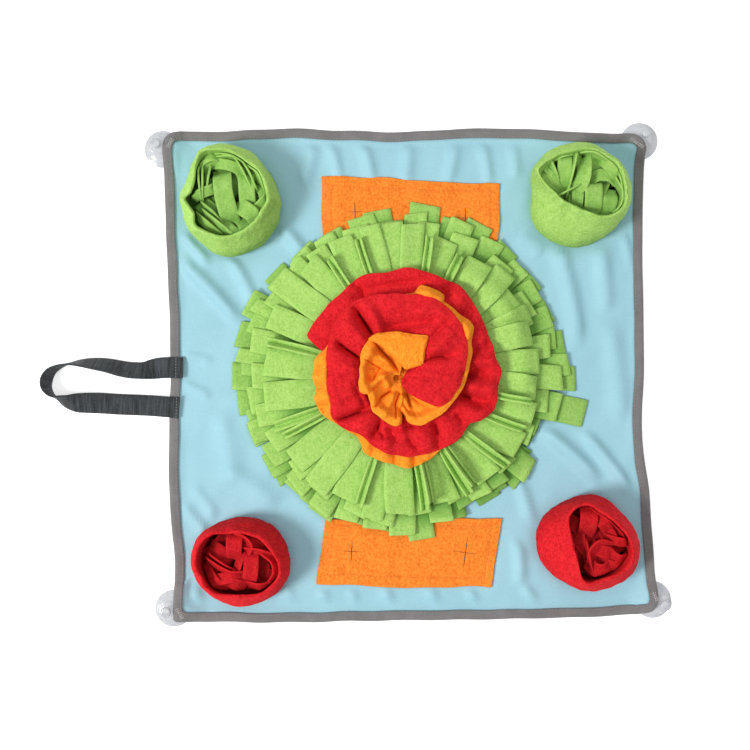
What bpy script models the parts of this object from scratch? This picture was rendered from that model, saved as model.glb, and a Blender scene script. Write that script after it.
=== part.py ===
"""Snuffle mat for a dog: a square cloth mat with a bound edge and a webbing handle. Two felt patches with cross
slits, a four-tier fleece fringe, a two-colour ruffled rosette and four fleece pots stuffed with strips are sewn on
it, and four clear suction cups hold its corners.

Frame: +Z up, +X away from the handle, +Y towards the green pots. The origin is on the floor under the middle of
the mat. Sizes are in millimetres, and MM turns them into Blender's metres. Heights are above the floor.
"""

import math

import bmesh
import bpy
import numpy as np

MM = 0.001
GAP = 0.35  # between two pieces that touch

# Mat
PANEL_THICK = 1.6
TAPE_THICK = 1.0
TAPE_WIDTH = 10.0
HALF_SIDE = 225.0  # from the middle to a side, near enough for the tape's inset
PANEL_TOP = PANEL_THICK
CORNER_LIFT = 7.0  # how high a suction cup holds the corner
LIFT_FLAT = 12.0  # from the cup's neck, how far the lift stays whole
LIFT_REACH = 24.0  # and over what distance it then runs out
TAPE_GAP = 0.55  # between the tape's inside and the panel
CORNER_STATIONS = (0.0, 10.0, 21.0, 34.0)
MIDDLE_STATIONS = 5
PANEL_INSETS = (TAPE_THICK + TAPE_GAP, TAPE_WIDTH + 0.5, 17.5, 26.0, 44.0, 80.0)  # of its rows, from the edge

# Fleece and felt
FLEECE = 2.0
PATCH_THICK = 2.2
SLIT_LENGTH = 23.0
SLIT_WIDTH = 1.8

# Webbing handle
WEB_WIDTH = 19.5
WEB_THICK = 1.6
WEB_STATIONS = 34
WEB_CLIMB_FROM = -241.0  # where its ends start to rise onto the tape
WEB_CLIMB = 13.0

STRIP_CLEAR = 0.6  # between the panel and the strips, which only their band touches

# Fringe
FRINGE_CENTRE = (-2.0, 0.5)
BAND_THICK = 2.4
TIER_RISE = 4.6
STRIP_TIP = 23.0
PATCH_RISE_FROM = 98.0  # the radius where strips start to climb onto a patch
PATCH_RISE_TO = 116.0

# Rosette
ROSETTE_CENTRE = (-10.0, -2.4)
ROOT_RADIUS = 3.0
ROOT_PITCH = 15.0  # growth of the root spiral in one turn
RUFFLES = 7.0  # in one turn
PAIR_APART = 3.4  # between the two colours where they lie together
ROSETTE_STEP = 10.0  # degrees

# Suction cups
CUP_SEGMENTS = 16


class Table:
    """Rows with named columns. The first column rises, and the others are read smoothly between its rows."""

    def __init__(self, names, *rows):
        self.names = names.split()
        self.rows = np.array(rows, float)

    def at(self, name, key):
        keys = self.rows[:, 0]
        values = self.rows[:, self.names.index(name)]
        slopes = np.gradient(values, keys)
        i = int(np.clip(np.searchsorted(keys, key) - 1, 0, len(keys) - 2))
        span = keys[i + 1] - keys[i]
        t = min(max((key - keys[i]) / span, 0.0), 1.0)
        start, end = values[i], values[i + 1]
        bend = (1 - t) * slopes[i] * span - t * slopes[i + 1] * span
        return float(start + (end - start) * t * t * (3 - 2 * t) + bend * t * (1 - t))

    def records(self):
        return [dict(zip(self.names, row)) for row in self.rows]


# Corners of the mat's outline, and how round each is
CORNERS = {
    "top_left": dict(place=(-230.2, 225.8), round=20.0),
    "top_right": dict(place=(219.3, 222.1), round=18.0),
    "bottom_right": dict(place=(231.9, -223.2), round=20.0),
    "bottom_left": dict(place=(-219.9, -231.2), round=4.0),
}

# How far each side stands outside the straight line between its corners, clockwise from the top left
SIDES = Table(
    "along top right bottom left",
    (0.000, 0.0, 0.0, 0.0, 0.0),
    (0.125, 0.3, -3.1, 2.6, -1.8),
    (0.250, 3.4, -5.3, 3.5, 1.7),
    (0.375, 2.1, -6.0, 3.5, 1.0),
    (0.500, 1.3, -7.1, 3.0, -1.9),
    (0.625, 4.6, -10.5, 3.0, -2.1),
    (0.750, 5.0, -5.3, 3.1, -0.9),
    (0.875, 2.2, -2.8, 1.9, -0.4),
    (1.000, 0.0, 0.0, 0.0, 0.0),
)

# Soft ridges where the cloth doesn't lie flat: middle, half length, half width, direction in degrees, height
FOLDS = Table(
    "x y half_length half_width turn height",
    (-196.0, 68.0, 34.0, 15.0, 68.0, 2.2),
    (-190.0, -20.0, 46.0, 16.0, 112.0, 2.6),
    (-176.0, -90.0, 24.0, 14.0, 60.0, 1.8),
    (-112.0, 196.0, 30.0, 13.0, 78.0, 1.6),
    (186.0, 76.0, 36.0, 16.0, 105.0, 2.4),
    (192.0, -30.0, 44.0, 17.0, 76.0, 2.8),
    (186.0, -76.0, 22.0, 14.0, 120.0, 1.8),
)

# Middle line of the webbing, and its turn about that line: 0 is flat, and 90 is on edge with its inner side up
WEB_PATH = Table(
    "along x y turn",
    (0.00, -211.4, 5.6, 0.0),
    (0.06, -224.0, 5.4, 0.0),
    (0.14, -246.0, 4.6, 6.0),
    (0.24, -268.0, 3.6, 24.0),
    (0.34, -288.0, 6.6, 44.0),
    (0.42, -306.0, 10.2, 68.0),
    (0.49, -322.0, 8.6, 92.0),
    (0.56, -334.6, -1.0, 104.0),
    (0.62, -335.6, -13.0, 104.0),
    (0.68, -326.0, -23.0, 84.0),
    (0.75, -309.0, -27.6, 36.0),
    (0.82, -290.0, -28.6, 8.0),
    (0.90, -256.0, -29.6, 0.0),
    (0.95, -226.0, -30.6, 0.0),
    (1.00, -213.4, -31.0, 0.0),
)

PATCHES = {
    "patch_top": dict(
        corners=((-82.5, 185.6), (84.8, 177.5), (82.2, 123.9), (-80.6, 128.5)),
        slits=((-51.4, 151.4, 4.0), (51.8, 152.9, -6.0)),
    ),
    "patch_bottom": dict(
        corners=((-78.2, -135.9), (87.4, -135.3), (77.6, -200.8), (-85.9, -198.1)),
        slits=((-54.4, -166.2, 2.0), (52.7, -168.0, 12.0)),
    ),
}

# Reach of the lowest fringe tier round the mat, with the notch at the lower right
REACH = Table(
    "azimuth reach",
    (0, 157),
    (20, 145),
    (45, 147),
    (65, 154),
    (85, 153),
    (105, 155),
    (130, 152),
    (150, 159),
    (168, 165),
    (190, 160),
    (220, 153),
    (245, 152),
    (270, 148),
    (300, 140),
    (316, 142),
    (326, 126),
    (336, 124),
    (344, 163),
    (360, 157),
)

TIERS = Table(
    "tier strips root_radius root_width shorter first free",
    (0, 26, 85.0, 18.0, 0.0, 3.0, 3.0),
    (1, 26, 78.0, 16.6, 14.0, 10.0, 3.0),
    (2, 24, 71.0, 16.2, 31.0, 5.0, 3.0),
    (3, 22, 64.0, 15.4, 45.0, 0.0, 7.0),
)

# The two ruffled ribbons of the rosette, from the middle outwards: reach and height of the free edge
ORANGE = Table(
    "angle reach height",
    (47, 33, 50),
    (90, 36, 51),
    (140, 40, 50),
    (180, 37, 49),
    (225, 40, 47),
    (265, 43, 47),
    (290, 46, 46),
    (320, 48, 45),
    (350, 57, 43),
    (378, 66, 41),
    (400, 77, 40),
    (425, 80, 40),
    (440, 80, 38),
    (465, 73, 37),
    (500, 72, 36),
    (540, 79, 34),
    (570, 80, 32),
    (594, 68, 31),
    (615, 75, 30),
    (634, 82, 29),
    (662, 79, 28),
)
RED = Table(
    "angle reach height",
    (319, 47, 49),
    (346, 52, 48),
    (378, 63, 47),
    (400, 71, 46),
    (425, 75, 45),
    (450, 73, 44),
    (475, 76, 43),
    (500, 74, 41),
    (540, 67, 39),
    (572, 68, 37),
    (595, 65, 35),
    (630, 73, 33),
    (665, 79, 31),
    (683, 75, 30),
    (697, 89, 29),
    (720, 91, 28),
    (732, 88, 28),
    (750, 90, 27),
    (778, 97, 26),
    (805, 98, 26),
    (831, 96, 26),
    (856, 89, 25),
    (876, 91, 25),
)

# Fleece pots: middle of the base, its half widths, the rim's shift from it, the rim's half widths, the height,
# the roll of the rim, and where the wall is pinched outwards
POTS = {
    "pot_top_left": dict(place=(-164.5, 157.5), base=(45.0, 48.0), shift=(0.0, 2.5), rim=(44.0, 47.0),
                         height=46.0, roll=9.5, pinch_at=172.0, pinch=0.09),
    "pot_top_right": dict(place=(154.5, 158.5), base=(39.0, 40.0), shift=(-1.5, 11.0), rim=(45.0, 38.5),
                          height=54.0, roll=7.0, pinch_at=200.0, pinch=0.03),
    "pot_bottom_left": dict(place=(-154.0, -171.5), base=(43.0, 40.5), shift=(0.5, -1.5), rim=(43.5, 39.5),
                            height=42.0, roll=9.5, pinch_at=300.0, pinch=0.02),
    "pot_bottom_right": dict(place=(160.0, -153.5), base=(43.0, 42.0), shift=(7.5, 1.5), rim=(37.5, 41.5),
                             height=52.0, roll=8.5, pinch_at=150.0, pinch=0.06),
}
POT_SEGMENTS = 24
POT_WALL = 4.0

# Wall of a pot, up the outside, over the rolled rim and down the inside: height share, blend from base to rim,
# swell, and share of the way through the wall
POT_WALL_PATH = Table(
    "row up blend swell inwards",
    (0, 0.00, 0.00, 0.0, 0.0),
    (1, 0.28, 0.20, 2.0, 0.0),
    (2, 0.62, 0.62, 2.4, 0.0),
    (3, 0.86, 1.00, 0.4, 0.0),
    (4, 0.97, 1.00, 0.0, 0.25),
    (5, 1.00, 1.00, 0.0, 0.55),
    (6, 0.93, 1.00, 0.0, 0.90),
    (7, 0.80, 1.00, 0.0, 1.00),
    (8, 0.45, 0.45, 1.0, 1.00),
    (9, 0.00, 0.00, 0.0, 1.00),
)

FILLING_STRIPS = 10
FILLING_BACKING = (5.0, 15.0)  # inner and outer radius

# Suction cups: middle of the disc, and how far the neck leans from it
SUCTION_CUPS = {
    "suction_cup_top_left": dict(place=(-230.7, 209.5), lean=(-4.5, 3.0)),
    "suction_cup_top_right": dict(place=(214.5, 216.9), lean=(4.0, 5.5)),
    "suction_cup_bottom_right": dict(place=(227.0, -211.5), lean=(8.8, -2.5)),
    "suction_cup_bottom_left": dict(place=(-220.5, -219.6), lean=(-5.2, -1.0)),
}

# Turned half section of a suction cup, from the middle of its hollow underside to the top of its knob
CUP_SECTION = Table(
    "row radius height",
    (0, 9.0, 2.1),
    (1, 15.6, 0.0),
    (2, 17.5, 0.0),
    (3, 17.5, 0.7),
    (4, 12.5, 2.8),
    (5, 8.2, 4.6),
    (6, 7.6, 6.3),
    (7, 3.2, 6.5),
    (8, 2.9, 11.6),
    (9, 4.9, 12.6),
    (10, 4.9, 15.4),
    (11, 3.2, 16.6),
)


def smoothstep(t):
    t = min(max(t, 0.0), 1.0)
    return t * t * (3.0 - 2.0 * t)


def lerp(a, b, t):
    return a + (b - a) * t


def wave(seed, index):
    """A repeatable uneven value from -1 to 1."""
    return math.sin(12.9898 * (index + 1) + 78.233 * (seed + 1)) * math.cos(4.137 * index + 1.7 * seed)


def finish(name, colour, roughness):
    """A plain Principled material."""
    made = bpy.data.materials.new(name)
    made.use_nodes = True
    shader = made.node_tree.nodes["Principled BSDF"]
    shader.inputs["Base Color"].default_value = (*colour, 1.0)
    shader.inputs["Roughness"].default_value = roughness
    shader.inputs["Metallic"].default_value = 0.0
    return made


def solid(name, points, faces, material):
    """One closed mesh object, from points in millimetres."""
    mesh = bpy.data.meshes.new(name)
    mesh.from_pydata([tuple(float(c) * MM for c in p) for p in points], [], faces)
    work = bmesh.new()
    work.from_mesh(mesh)
    bmesh.ops.recalc_face_normals(work, faces=work.faces)
    work.to_mesh(mesh)
    work.free()
    mesh.materials.append(material)
    mesh.shade_smooth()
    mesh.set_sharp_from_angle(angle=math.radians(40.0))
    made = bpy.data.objects.new(name, mesh)
    bpy.context.scene.collection.objects.link(made)
    return made


def loft(name, sections, material, ring=False):
    """A solid skinned over equal loops of points, with flat ends, or joined end to start as a ring."""
    count = len(sections[0])
    points = [p for section in sections for p in section]
    faces = []
    for i in range(len(sections) if ring else len(sections) - 1):
        near, far = i * count, (i + 1) % len(sections) * count
        for j in range(count):
            k = (j + 1) % count
            faces.append((near + j, near + k, far + k, far + j))
    if not ring:
        faces.append(tuple(range(count)))
        faces.append(tuple(range(len(points) - count, len(points))))
    return solid(name, points, faces, material)


def sheet(name, upper, lower, material, round_and_round=False):
    """A closed sheet between two grids of points. Going round and round, its last column closes on a middle point."""
    rows, columns = len(upper), len(upper[0])
    size, last = rows * columns, columns - 1
    points = [p for row in upper for p in row] + [p for row in lower for p in row]
    faces = []

    def at(i, j, side):
        return side * size + (i % rows) * columns + j

    for i in range(rows if round_and_round else rows - 1):
        for side in (0, 1):
            for j in range(last):
                faces.append((at(i, j, side), at(i, j + 1, side), at(i + 1, j + 1, side), at(i + 1, j, side)))
        faces.append((at(i, 0, 0), at(i + 1, 0, 0), at(i + 1, 0, 1), at(i, 0, 1)))
        if round_and_round:
            faces.append((at(i, last, 0), at(i + 1, last, 0), 2 * size))
            faces.append((at(i, last, 1), at(i + 1, last, 1), 2 * size + 1))
        else:
            faces.append((at(i, last, 0), at(i + 1, last, 0), at(i + 1, last, 1), at(i, last, 1)))
    if round_and_round:
        for grid in (upper, lower):
            inmost = [row[-1] for row in grid]
            points.append(tuple(sum(p[k] for p in inmost) / rows for k in range(3)))
    else:
        for i in (0, rows - 1):
            for j in range(last):
                faces.append((at(i, j, 0), at(i, j + 1, 0), at(i, j + 1, 1), at(i, j, 1)))
    return solid(name, points, faces, material)


# ---------------------------------------------------------------- mat


def outline():
    """The mat's outline, clockwise from the top left: uneven sides between rounded corners."""
    names = list(CORNERS)
    points = []
    for side, start, end in zip(SIDES.names[1:], names, names[1:] + names[:1]):
        a = np.array(CORNERS[start]["place"])
        b = np.array(CORNERS[end]["place"])
        length = np.linalg.norm(b - a)
        along = (b - a) / length
        outwards = np.array((-along[1], along[0]))
        near = [CORNERS[start]["round"] + d for d in CORNER_STATIONS]
        far = [length - CORNERS[end]["round"] - d for d in reversed(CORNER_STATIONS)]
        middle = np.linspace(near[-1], far[0], MIDDLE_STATIONS + 2)[1:-1]
        for distance in (*near, *middle, *far):
            points.append(a + along * distance + outwards * SIDES.at(side, distance / length))
        before, corner = points[-1], b
        next_end = np.array(CORNERS[names[(names.index(end) + 1) % 4]]["place"])
        next_along = (next_end - corner) / np.linalg.norm(next_end - corner)
        after = corner + next_along * CORNERS[end]["round"]
        for t in (0.33, 0.67):
            points.append((1 - t) ** 2 * before + 2 * t * (1 - t) * corner + t * t * after)
    return points


def corner_lift(x, y):
    """Height of the mat's lowest layer over the floor: up on the suction cups at the corners."""
    lift = 0.0
    for cup in SUCTION_CUPS.values():
        neck = [cup["place"][k] + cup["lean"][k] for k in (0, 1)]
        away = math.hypot(x - neck[0], y - neck[1])
        lift = max(lift, CORNER_LIFT * (1.0 - smoothstep((away - LIFT_FLAT) / LIFT_REACH)))
    return lift


def tape_lift(p):
    """Lift of the whole width of the tape beside this point of the outline."""
    return corner_lift(*(p * (1.0 - 0.5 * TAPE_WIDTH / HALF_SIDE)))


def folds(x, y):
    """Height of the soft ridges at a point of the mat."""
    height = 0.0
    for fold in FOLDS.records():
        turn = math.radians(fold["turn"])
        dx, dy = x - fold["x"], y - fold["y"]
        along = (dx * math.cos(turn) + dy * math.sin(turn)) / fold["half_length"]
        across = (dy * math.cos(turn) - dx * math.sin(turn)) / fold["half_width"]
        height += fold["height"] * (1.0 - smoothstep(abs(along))) * (1.0 - smoothstep(abs(across)))
    return height


def panel(edge, material):
    """The blue cloth: flat in the middle, a little higher at its edge, where the tape passes under it."""
    shares = [1.0 - inset / HALF_SIDE for inset in PANEL_INSETS]
    over_tape = TAPE_THICK + TAPE_GAP
    upper, lower = [], []
    for p in edge:
        top, bottom = [], []
        for column, share in enumerate(shares):
            x, y = p * share
            height = over_tape + tape_lift(p) if column < 2 else corner_lift(x, y) + folds(x, y)
            bottom.append((x, y, height))
            top.append((x, y, height + PANEL_THICK))
        upper.append(top)
        lower.append(bottom)
    return sheet("mat_panel", upper, lower, material, round_and_round=True)


def binding(edge, material):
    """The tape folded round the panel's edge, sewn through both sides."""
    inside = TAPE_THICK
    gap_top = TAPE_THICK + PANEL_THICK + 2 * TAPE_GAP
    section = (
        (0.0, 0.0),
        (TAPE_WIDTH, 0.0),
        (TAPE_WIDTH, TAPE_THICK),
        (inside, TAPE_THICK),
        (inside, gap_top),
        (TAPE_WIDTH, gap_top),
        (TAPE_WIDTH, gap_top + TAPE_THICK),
        (0.0, gap_top + TAPE_THICK),
    )
    sections = []
    for p in edge:
        loop = []
        for inset, height in section:
            x, y = p * (1.0 - inset / HALF_SIDE)
            loop.append((x, y, height + tape_lift(p)))
        sections.append(loop)
    return loft("binding", sections, material, ring=True)


def handle(material):
    """The webbing loop: both ends lie on the binding, and the loop stands on edge where it turns."""
    on_mat = 2 * TAPE_THICK + PANEL_THICK + 2 * TAPE_GAP + GAP
    places = []
    for k in range(WEB_STATIONS):
        along = k / (WEB_STATIONS - 1)
        places.append([WEB_PATH.at(name, along) for name in ("x", "y", "turn")])
    middle = np.array(places)[:, :2]
    ways = np.gradient(middle, axis=0)
    sections = []
    for (x, y, turn), way in zip(places, ways):
        way = way / np.linalg.norm(way)
        inwards = np.array((-way[1], way[0], 0.0))
        tilt = math.radians(turn)
        across = inwards * math.cos(tilt) + np.array((0.0, 0.0, math.sin(tilt)))
        face = np.cross(np.array((way[0], way[1], 0.0)), across)
        rest = 0.5 * WEB_WIDTH * abs(math.sin(tilt)) + 0.5 * WEB_THICK * abs(math.cos(tilt))
        on = smoothstep((x - WEB_CLIMB_FROM) / WEB_CLIMB)
        centre = np.array((x, y, rest + lerp(0.1, on_mat, on)))
        corners = ((-1, -1), (1, -1), (1, 1), (-1, 1))
        sections.append([centre + 0.5 * WEB_WIDTH * a * across + 0.5 * WEB_THICK * b * face for a, b in corners])
    return loft("handle", sections, material)


def slit_cutter(name, x, y, turn):
    """A thin lens that cuts one arm of a cross slit."""
    half, wide, deep = 0.5 * SLIT_LENGTH, 0.5 * SLIT_WIDTH, 3.0 * PATCH_THICK
    lens = ((-half, 0.0), (-0.35 * half, -wide), (0.35 * half, -wide), (half, 0.0), (0.35 * half, wide),
            (-0.35 * half, wide))
    c, s = math.cos(math.radians(turn)), math.sin(math.radians(turn))
    sections = [[(x + a * c - b * s, y + a * s + b * c, z) for a, b in lens] for z in (0.0, deep)]
    cutter = loft(name, sections, None)
    cutter.hide_render = True
    cutter.display_type = "WIRE"
    return cutter


def patch(name, corners, slits, material):
    """A felt patch, topstitched flat on the panel, with its cross slits cut through."""
    a, b, c, d = (np.array(corner) for corner in corners)
    low, across, down = PANEL_TOP + GAP, 8, 4
    upper, lower = [], []
    for i in range(across + 1):
        top, bottom = [], []
        for j in range(down + 1):
            u, v = i / across, j / down
            x, y = lerp(lerp(a, b, u), lerp(d, c, u), v)
            y += 0.9 * math.sin(5.0 * u + 2.0 * v) * (1.0 - abs(2.0 * u - 1.0))
            swell = 0.5 * math.sin(math.pi * u) * math.sin(math.pi * v)
            bottom.append((x, y, low))
            top.append((x, y, low + PATCH_THICK + swell))
        upper.append(top)
        lower.append(bottom)
    made = sheet(name, upper, lower, material)
    for number, (x, y, turn) in enumerate(slits):
        for arm in (0, 1):
            cutter = slit_cutter(f"{name}_slit_{number}_{arm}", x, y, turn + 90.0 * arm)
            cut = made.modifiers.new(f"slit_{number}_{arm}", "BOOLEAN")
            cut.operation = "DIFFERENCE"
            cut.solver = "EXACT"
            cut.object = cutter
    return made


# ---------------------------------------------------------------- strips


def banded_strips(name, stations, strips, material):
    """A narrow backing band with strips growing out of its outer side.

    stations is a list of (inner low, inner high, outer high, outer root, outer low) points, two for each strip, one
    on each side of it. Each strip is a list of four-point sections, from just past the band to its tip.
    """
    points, faces = [], []
    for station in stations:
        points.extend(station)
    for i in range(len(stations)):
        near, far = 5 * i, 5 * ((i + 1) % len(stations))
        for j in range(5):
            k = (j + 1) % 5
            if j == 2 and i % 2 == 0:
                continue
            faces.append((near + j, near + k, far + k, far + j))
    for number, sections in enumerate(strips):
        near, far = 10 * number, (10 * number + 5) % (5 * len(stations))
        loop = (near + 3, far + 3, far + 2, near + 2)
        for section in sections:
            start = len(points)
            points.extend(section)
            fresh = tuple(range(start, start + 4))
            for j in range(4):
                k = (j + 1) % 4
                faces.append((loop[j], loop[k], fresh[k], fresh[j]))
            loop = fresh
        faces.append(loop)
    return solid(name, points, faces, material)


def polar(centre, radius, azimuth, height):
    """A point at this radius and azimuth in degrees."""
    a = math.radians(azimuth)
    return (centre[0] + radius * math.cos(a), centre[1] + radius * math.sin(a), height)


def ground(x, y):
    """How much higher the strips lie here, because a patch is under them."""
    radius = math.hypot(x, y)
    off_axis = math.degrees(math.atan2(abs(x), abs(y)))
    share = smoothstep((radius - PATCH_RISE_FROM) / (PATCH_RISE_TO - PATCH_RISE_FROM))
    return (PATCH_THICK + GAP + STRIP_CLEAR) * share * (1.0 - smoothstep((off_axis - 40.0) / 16.0))


def fringe_tier(tier, material):
    """One tier of the fringe: a band standing on the panel, and the strips cut in its free edge."""
    number = int(tier["tier"])
    count = int(tier["strips"])
    root = tier["root_radius"]
    bottom = PANEL_TOP + GAP
    strip_low = PANEL_TOP + STRIP_CLEAR + TIER_RISE * number
    high = strip_low + FLEECE
    half_angle = math.degrees(0.5 * tier["root_width"] / root)
    pitch = 360.0 / count
    stations, strips = [], []
    for k in range(count):
        azimuth = tier["first"] + pitch * k + 0.22 * (pitch - 2 * half_angle) * wave(number, k)
        for side in (-1, 1):
            a = azimuth + side * half_angle
            inner = root - BAND_THICK
            stations.append((
                polar(FRINGE_CENTRE, inner, a, bottom),
                polar(FRINGE_CENTRE, inner, a, high),
                polar(FRINGE_CENTRE, root, a, high),
                polar(FRINGE_CENTRE, root, a, strip_low),
                polar(FRINGE_CENTRE, root, a, bottom),
            ))
        reach = REACH.at("reach", azimuth % 360.0) - tier["shorter"] + 3.0 * wave(number + 7, k)
        spare = 2 * math.pi * reach / count - STRIP_TIP
        skew = 0.5 * spare * 0.7 * wave(number + 3, k)
        lift = tier["free"] * (0.5 + 0.5 * wave(number + 5, k))
        loose = 0.5 + 0.5 * wave(number + 11, k)
        sections = []
        for share in (0.35, 0.7, 1.0):
            radius = lerp(root, reach, share)
            width = lerp(tier["root_width"], STRIP_TIP, smoothstep(1.6 * share))
            section = []
            for side, up in ((-1, 0), (1, 0), (1, 1), (-1, 1)):
                aim = math.radians(azimuth)
                sideways = 0.5 * side * width + skew * share
                x = FRINGE_CENTRE[0] + radius * math.cos(aim) - sideways * math.sin(aim)
                y = FRINGE_CENTRE[1] + radius * math.sin(aim) + sideways * math.cos(aim)
                height = strip_low + ground(x, y) + 0.8 * loose * share + lift * smoothstep(3.3 * (share - 0.7))
                section.append((x, y, height + up * FLEECE))
            sections.append(section)
        strips.append(sections)
    return banded_strips(f"fringe_tier_{number + 1}", stations, strips, material)


# ---------------------------------------------------------------- rosette


def ribbon_point(table, angle, across, outer):
    """A point of a ruffled ribbon at this angle of the spiral, from its sewn root (0) to its free edge (1)."""
    turns = angle / 360.0
    together = smoothstep((angle - 275.0) / 35.0) if outer else 0.0
    root = ROOT_RADIUS + ROOT_PITCH * turns + PAIR_APART * together
    low = PANEL_TOP + STRIP_CLEAR
    height = table.at("height", angle)
    steep = lerp(2.0, 4.4, smoothstep(turns / 2.2))
    fold = 0.5 + 0.5 * math.sin(math.radians(angle * RUFFLES) + 1.7 * math.sin(2.3 * turns))
    ruffle = (2.2 + 1.5 * turns) * across ** 1.4 * fold
    radius = lerp(root, table.at("reach", angle), across)
    return radius, low + (height - low) * (1.0 - (1.0 - across) ** steep) + ruffle


def ribbon(name, table, material, outer):
    """A ruffled fleece ribbon wound as a spiral, its root on the panel and its free edge leaning outwards."""
    start, end = table.rows[0, 0], table.rows[-1, 0]
    steps = round((end - start) / ROSETTE_STEP)
    stops = (0.0, 0.10, 0.26, 0.55, 1.0)
    upper, lower = [], []
    for i in range(steps + 1):
        angle = lerp(start, end, i / steps)
        line = [ribbon_point(table, angle, s, outer) for s in stops]
        slope = np.gradient(np.array(line), axis=0)
        slope /= np.linalg.norm(slope, axis=1)[:, None]
        top, bottom = [], []
        for (radius, height), (run, rise) in zip(line, slope):
            for side, row in ((0.5, top), (-0.5, bottom)):
                out = radius - side * FLEECE * rise
                up = max(height + side * FLEECE * run, PANEL_TOP + GAP)
                row.append(polar(ROSETTE_CENTRE, out, angle, up))
        upper.append(top)
        lower.append(bottom)
    return sheet(name, upper, lower, material)


# ---------------------------------------------------------------- pots


def pot_radius(pot, level, azimuth):
    """Outer radius of a pot's base or rim at this azimuth. The rim is pinched outwards at one place."""
    a = math.radians(azimuth)
    plain = 1.0 / math.hypot(math.cos(a) / pot[level][0], math.sin(a) / pot[level][1])
    off = (azimuth - pot["pinch_at"] + 180.0) % 360.0 - 180.0
    pinch = pot["pinch"] if level == "rim" else 0.0
    return plain * (1.0 + pinch * math.exp(-((off / 20.0) ** 2)))


def pot_point(pot, azimuth, up, blend, swell, through):
    """A point of a pot's wall: through is how far inside the outer face it lies, in millimetres."""
    radius = lerp(pot_radius(pot, "base", azimuth), pot_radius(pot, "rim", azimuth), blend)
    centre = [pot["place"][k] + pot["shift"][k] * up for k in (0, 1)]
    tilt = 1.0 + 0.03 * math.sin(math.radians(2.0 * azimuth + pot["pinch_at"])) * up
    height = PANEL_TOP + GAP + (pot["height"] - PANEL_TOP) * up * tilt
    return polar(centre, radius + swell - through, azimuth, height)


def pot_tube(name, pot, material):
    """A soft fleece tube, open at the top, with its rim rolled over."""
    sections = []
    for k in range(POT_SEGMENTS):
        azimuth = 360.0 * k / POT_SEGMENTS
        loop = []
        for row in POT_WALL_PATH.records():
            wall = lerp(POT_WALL, pot["roll"], smoothstep(1.3 * row["up"]))
            loop.append(pot_point(pot, azimuth, row["up"], row["blend"], row["swell"], wall * row["inwards"]))
        sections.append(loop)
    return loft(name, sections, material, ring=True)


def filling(name, pot, seed, material):
    """Strips that fill a pot: they rise along its wall and fold over the middle at two heights."""
    inner, outer = FILLING_BACKING
    bottom = PANEL_TOP + GAP
    strip_low = bottom + 0.8
    high = strip_low + FLEECE
    pitch = 360.0 / FILLING_STRIPS
    stations, strips = [], []
    for k in range(FILLING_STRIPS):
        azimuth = pitch * k + 3.0 * wave(seed, k)
        for side in (-1, 1):
            a = azimuth + side * 0.36 * pitch
            stations.append(tuple(
                polar(pot["place"], r, a, z)
                for r, z in ((inner, bottom), (inner, high), (outer, high), (outer, strip_low), (outer, bottom))
            ))
        tall = k % 2
        room = pot_radius(pot, "rim", azimuth) - pot["roll"]
        floor_room = min(room, pot_radius(pot, "base", azimuth) - POT_WALL)
        top = pot["height"] * (0.80 if tall else 0.58) + 1.5 * wave(seed + 2, k)
        # radius, height and width, from just past the backing to the tip
        path = (
            (floor_room - 9.0, strip_low + 2.0, 7.0),
            (room - 7.0, 0.45 * top, 10.0),
            (room - 7.0 if tall else room - 9.0, 0.86 * top, 11.0),
            (room - 14.0, top, 11.0),
            (11.0 + 1.5 * wave(seed + 4, k), top - 1.0, 9.0),
        )
        line = np.array([(radius, height) for radius, height, _ in path])
        slope = np.gradient(line, axis=0)
        slope /= np.linalg.norm(slope, axis=1)[:, None]
        sections = []
        for (radius, height, width), (run, rise) in zip(path, slope):
            aim = math.radians(azimuth)
            centre = [pot["place"][i] + pot["shift"][i] * height / pot["height"] for i in (0, 1)]
            section = []
            for side, face in ((-1, -1), (1, -1), (1, 1), (-1, 1)):
                r = radius - 0.5 * face * FLEECE * rise
                across = 0.5 * side * width
                section.append((
                    centre[0] + r * math.cos(aim) - across * math.sin(aim),
                    centre[1] + r * math.sin(aim) + across * math.cos(aim),
                    height + 0.5 * face * FLEECE * run,
                ))
            sections.append(section)
        strips.append(sections)
    return banded_strips(name, stations, strips, material)


# ---------------------------------------------------------------- suction cups


def suction_cup(name, place, lean, material):
    """A turned clear cup whose neck and knob lean away from the mat, outside its corner."""
    sections = []
    for row in CUP_SECTION.records():
        shift = smoothstep((row["height"] - 1.0) / 5.0) if row["row"] > 0 else 0.0
        middle = (lean[0] * shift, lean[1] * shift)
        sections.append([
            polar(middle, row["radius"], 360.0 * k / CUP_SEGMENTS, row["height"]) for k in range(CUP_SEGMENTS)
        ])
    made = loft(name, sections, material)
    made.location = (place[0] * MM, place[1] * MM, 0.0)
    return made


def clear_scene():
    for old in list(bpy.data.objects):
        bpy.data.objects.remove(old, do_unlink=True)


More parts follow.
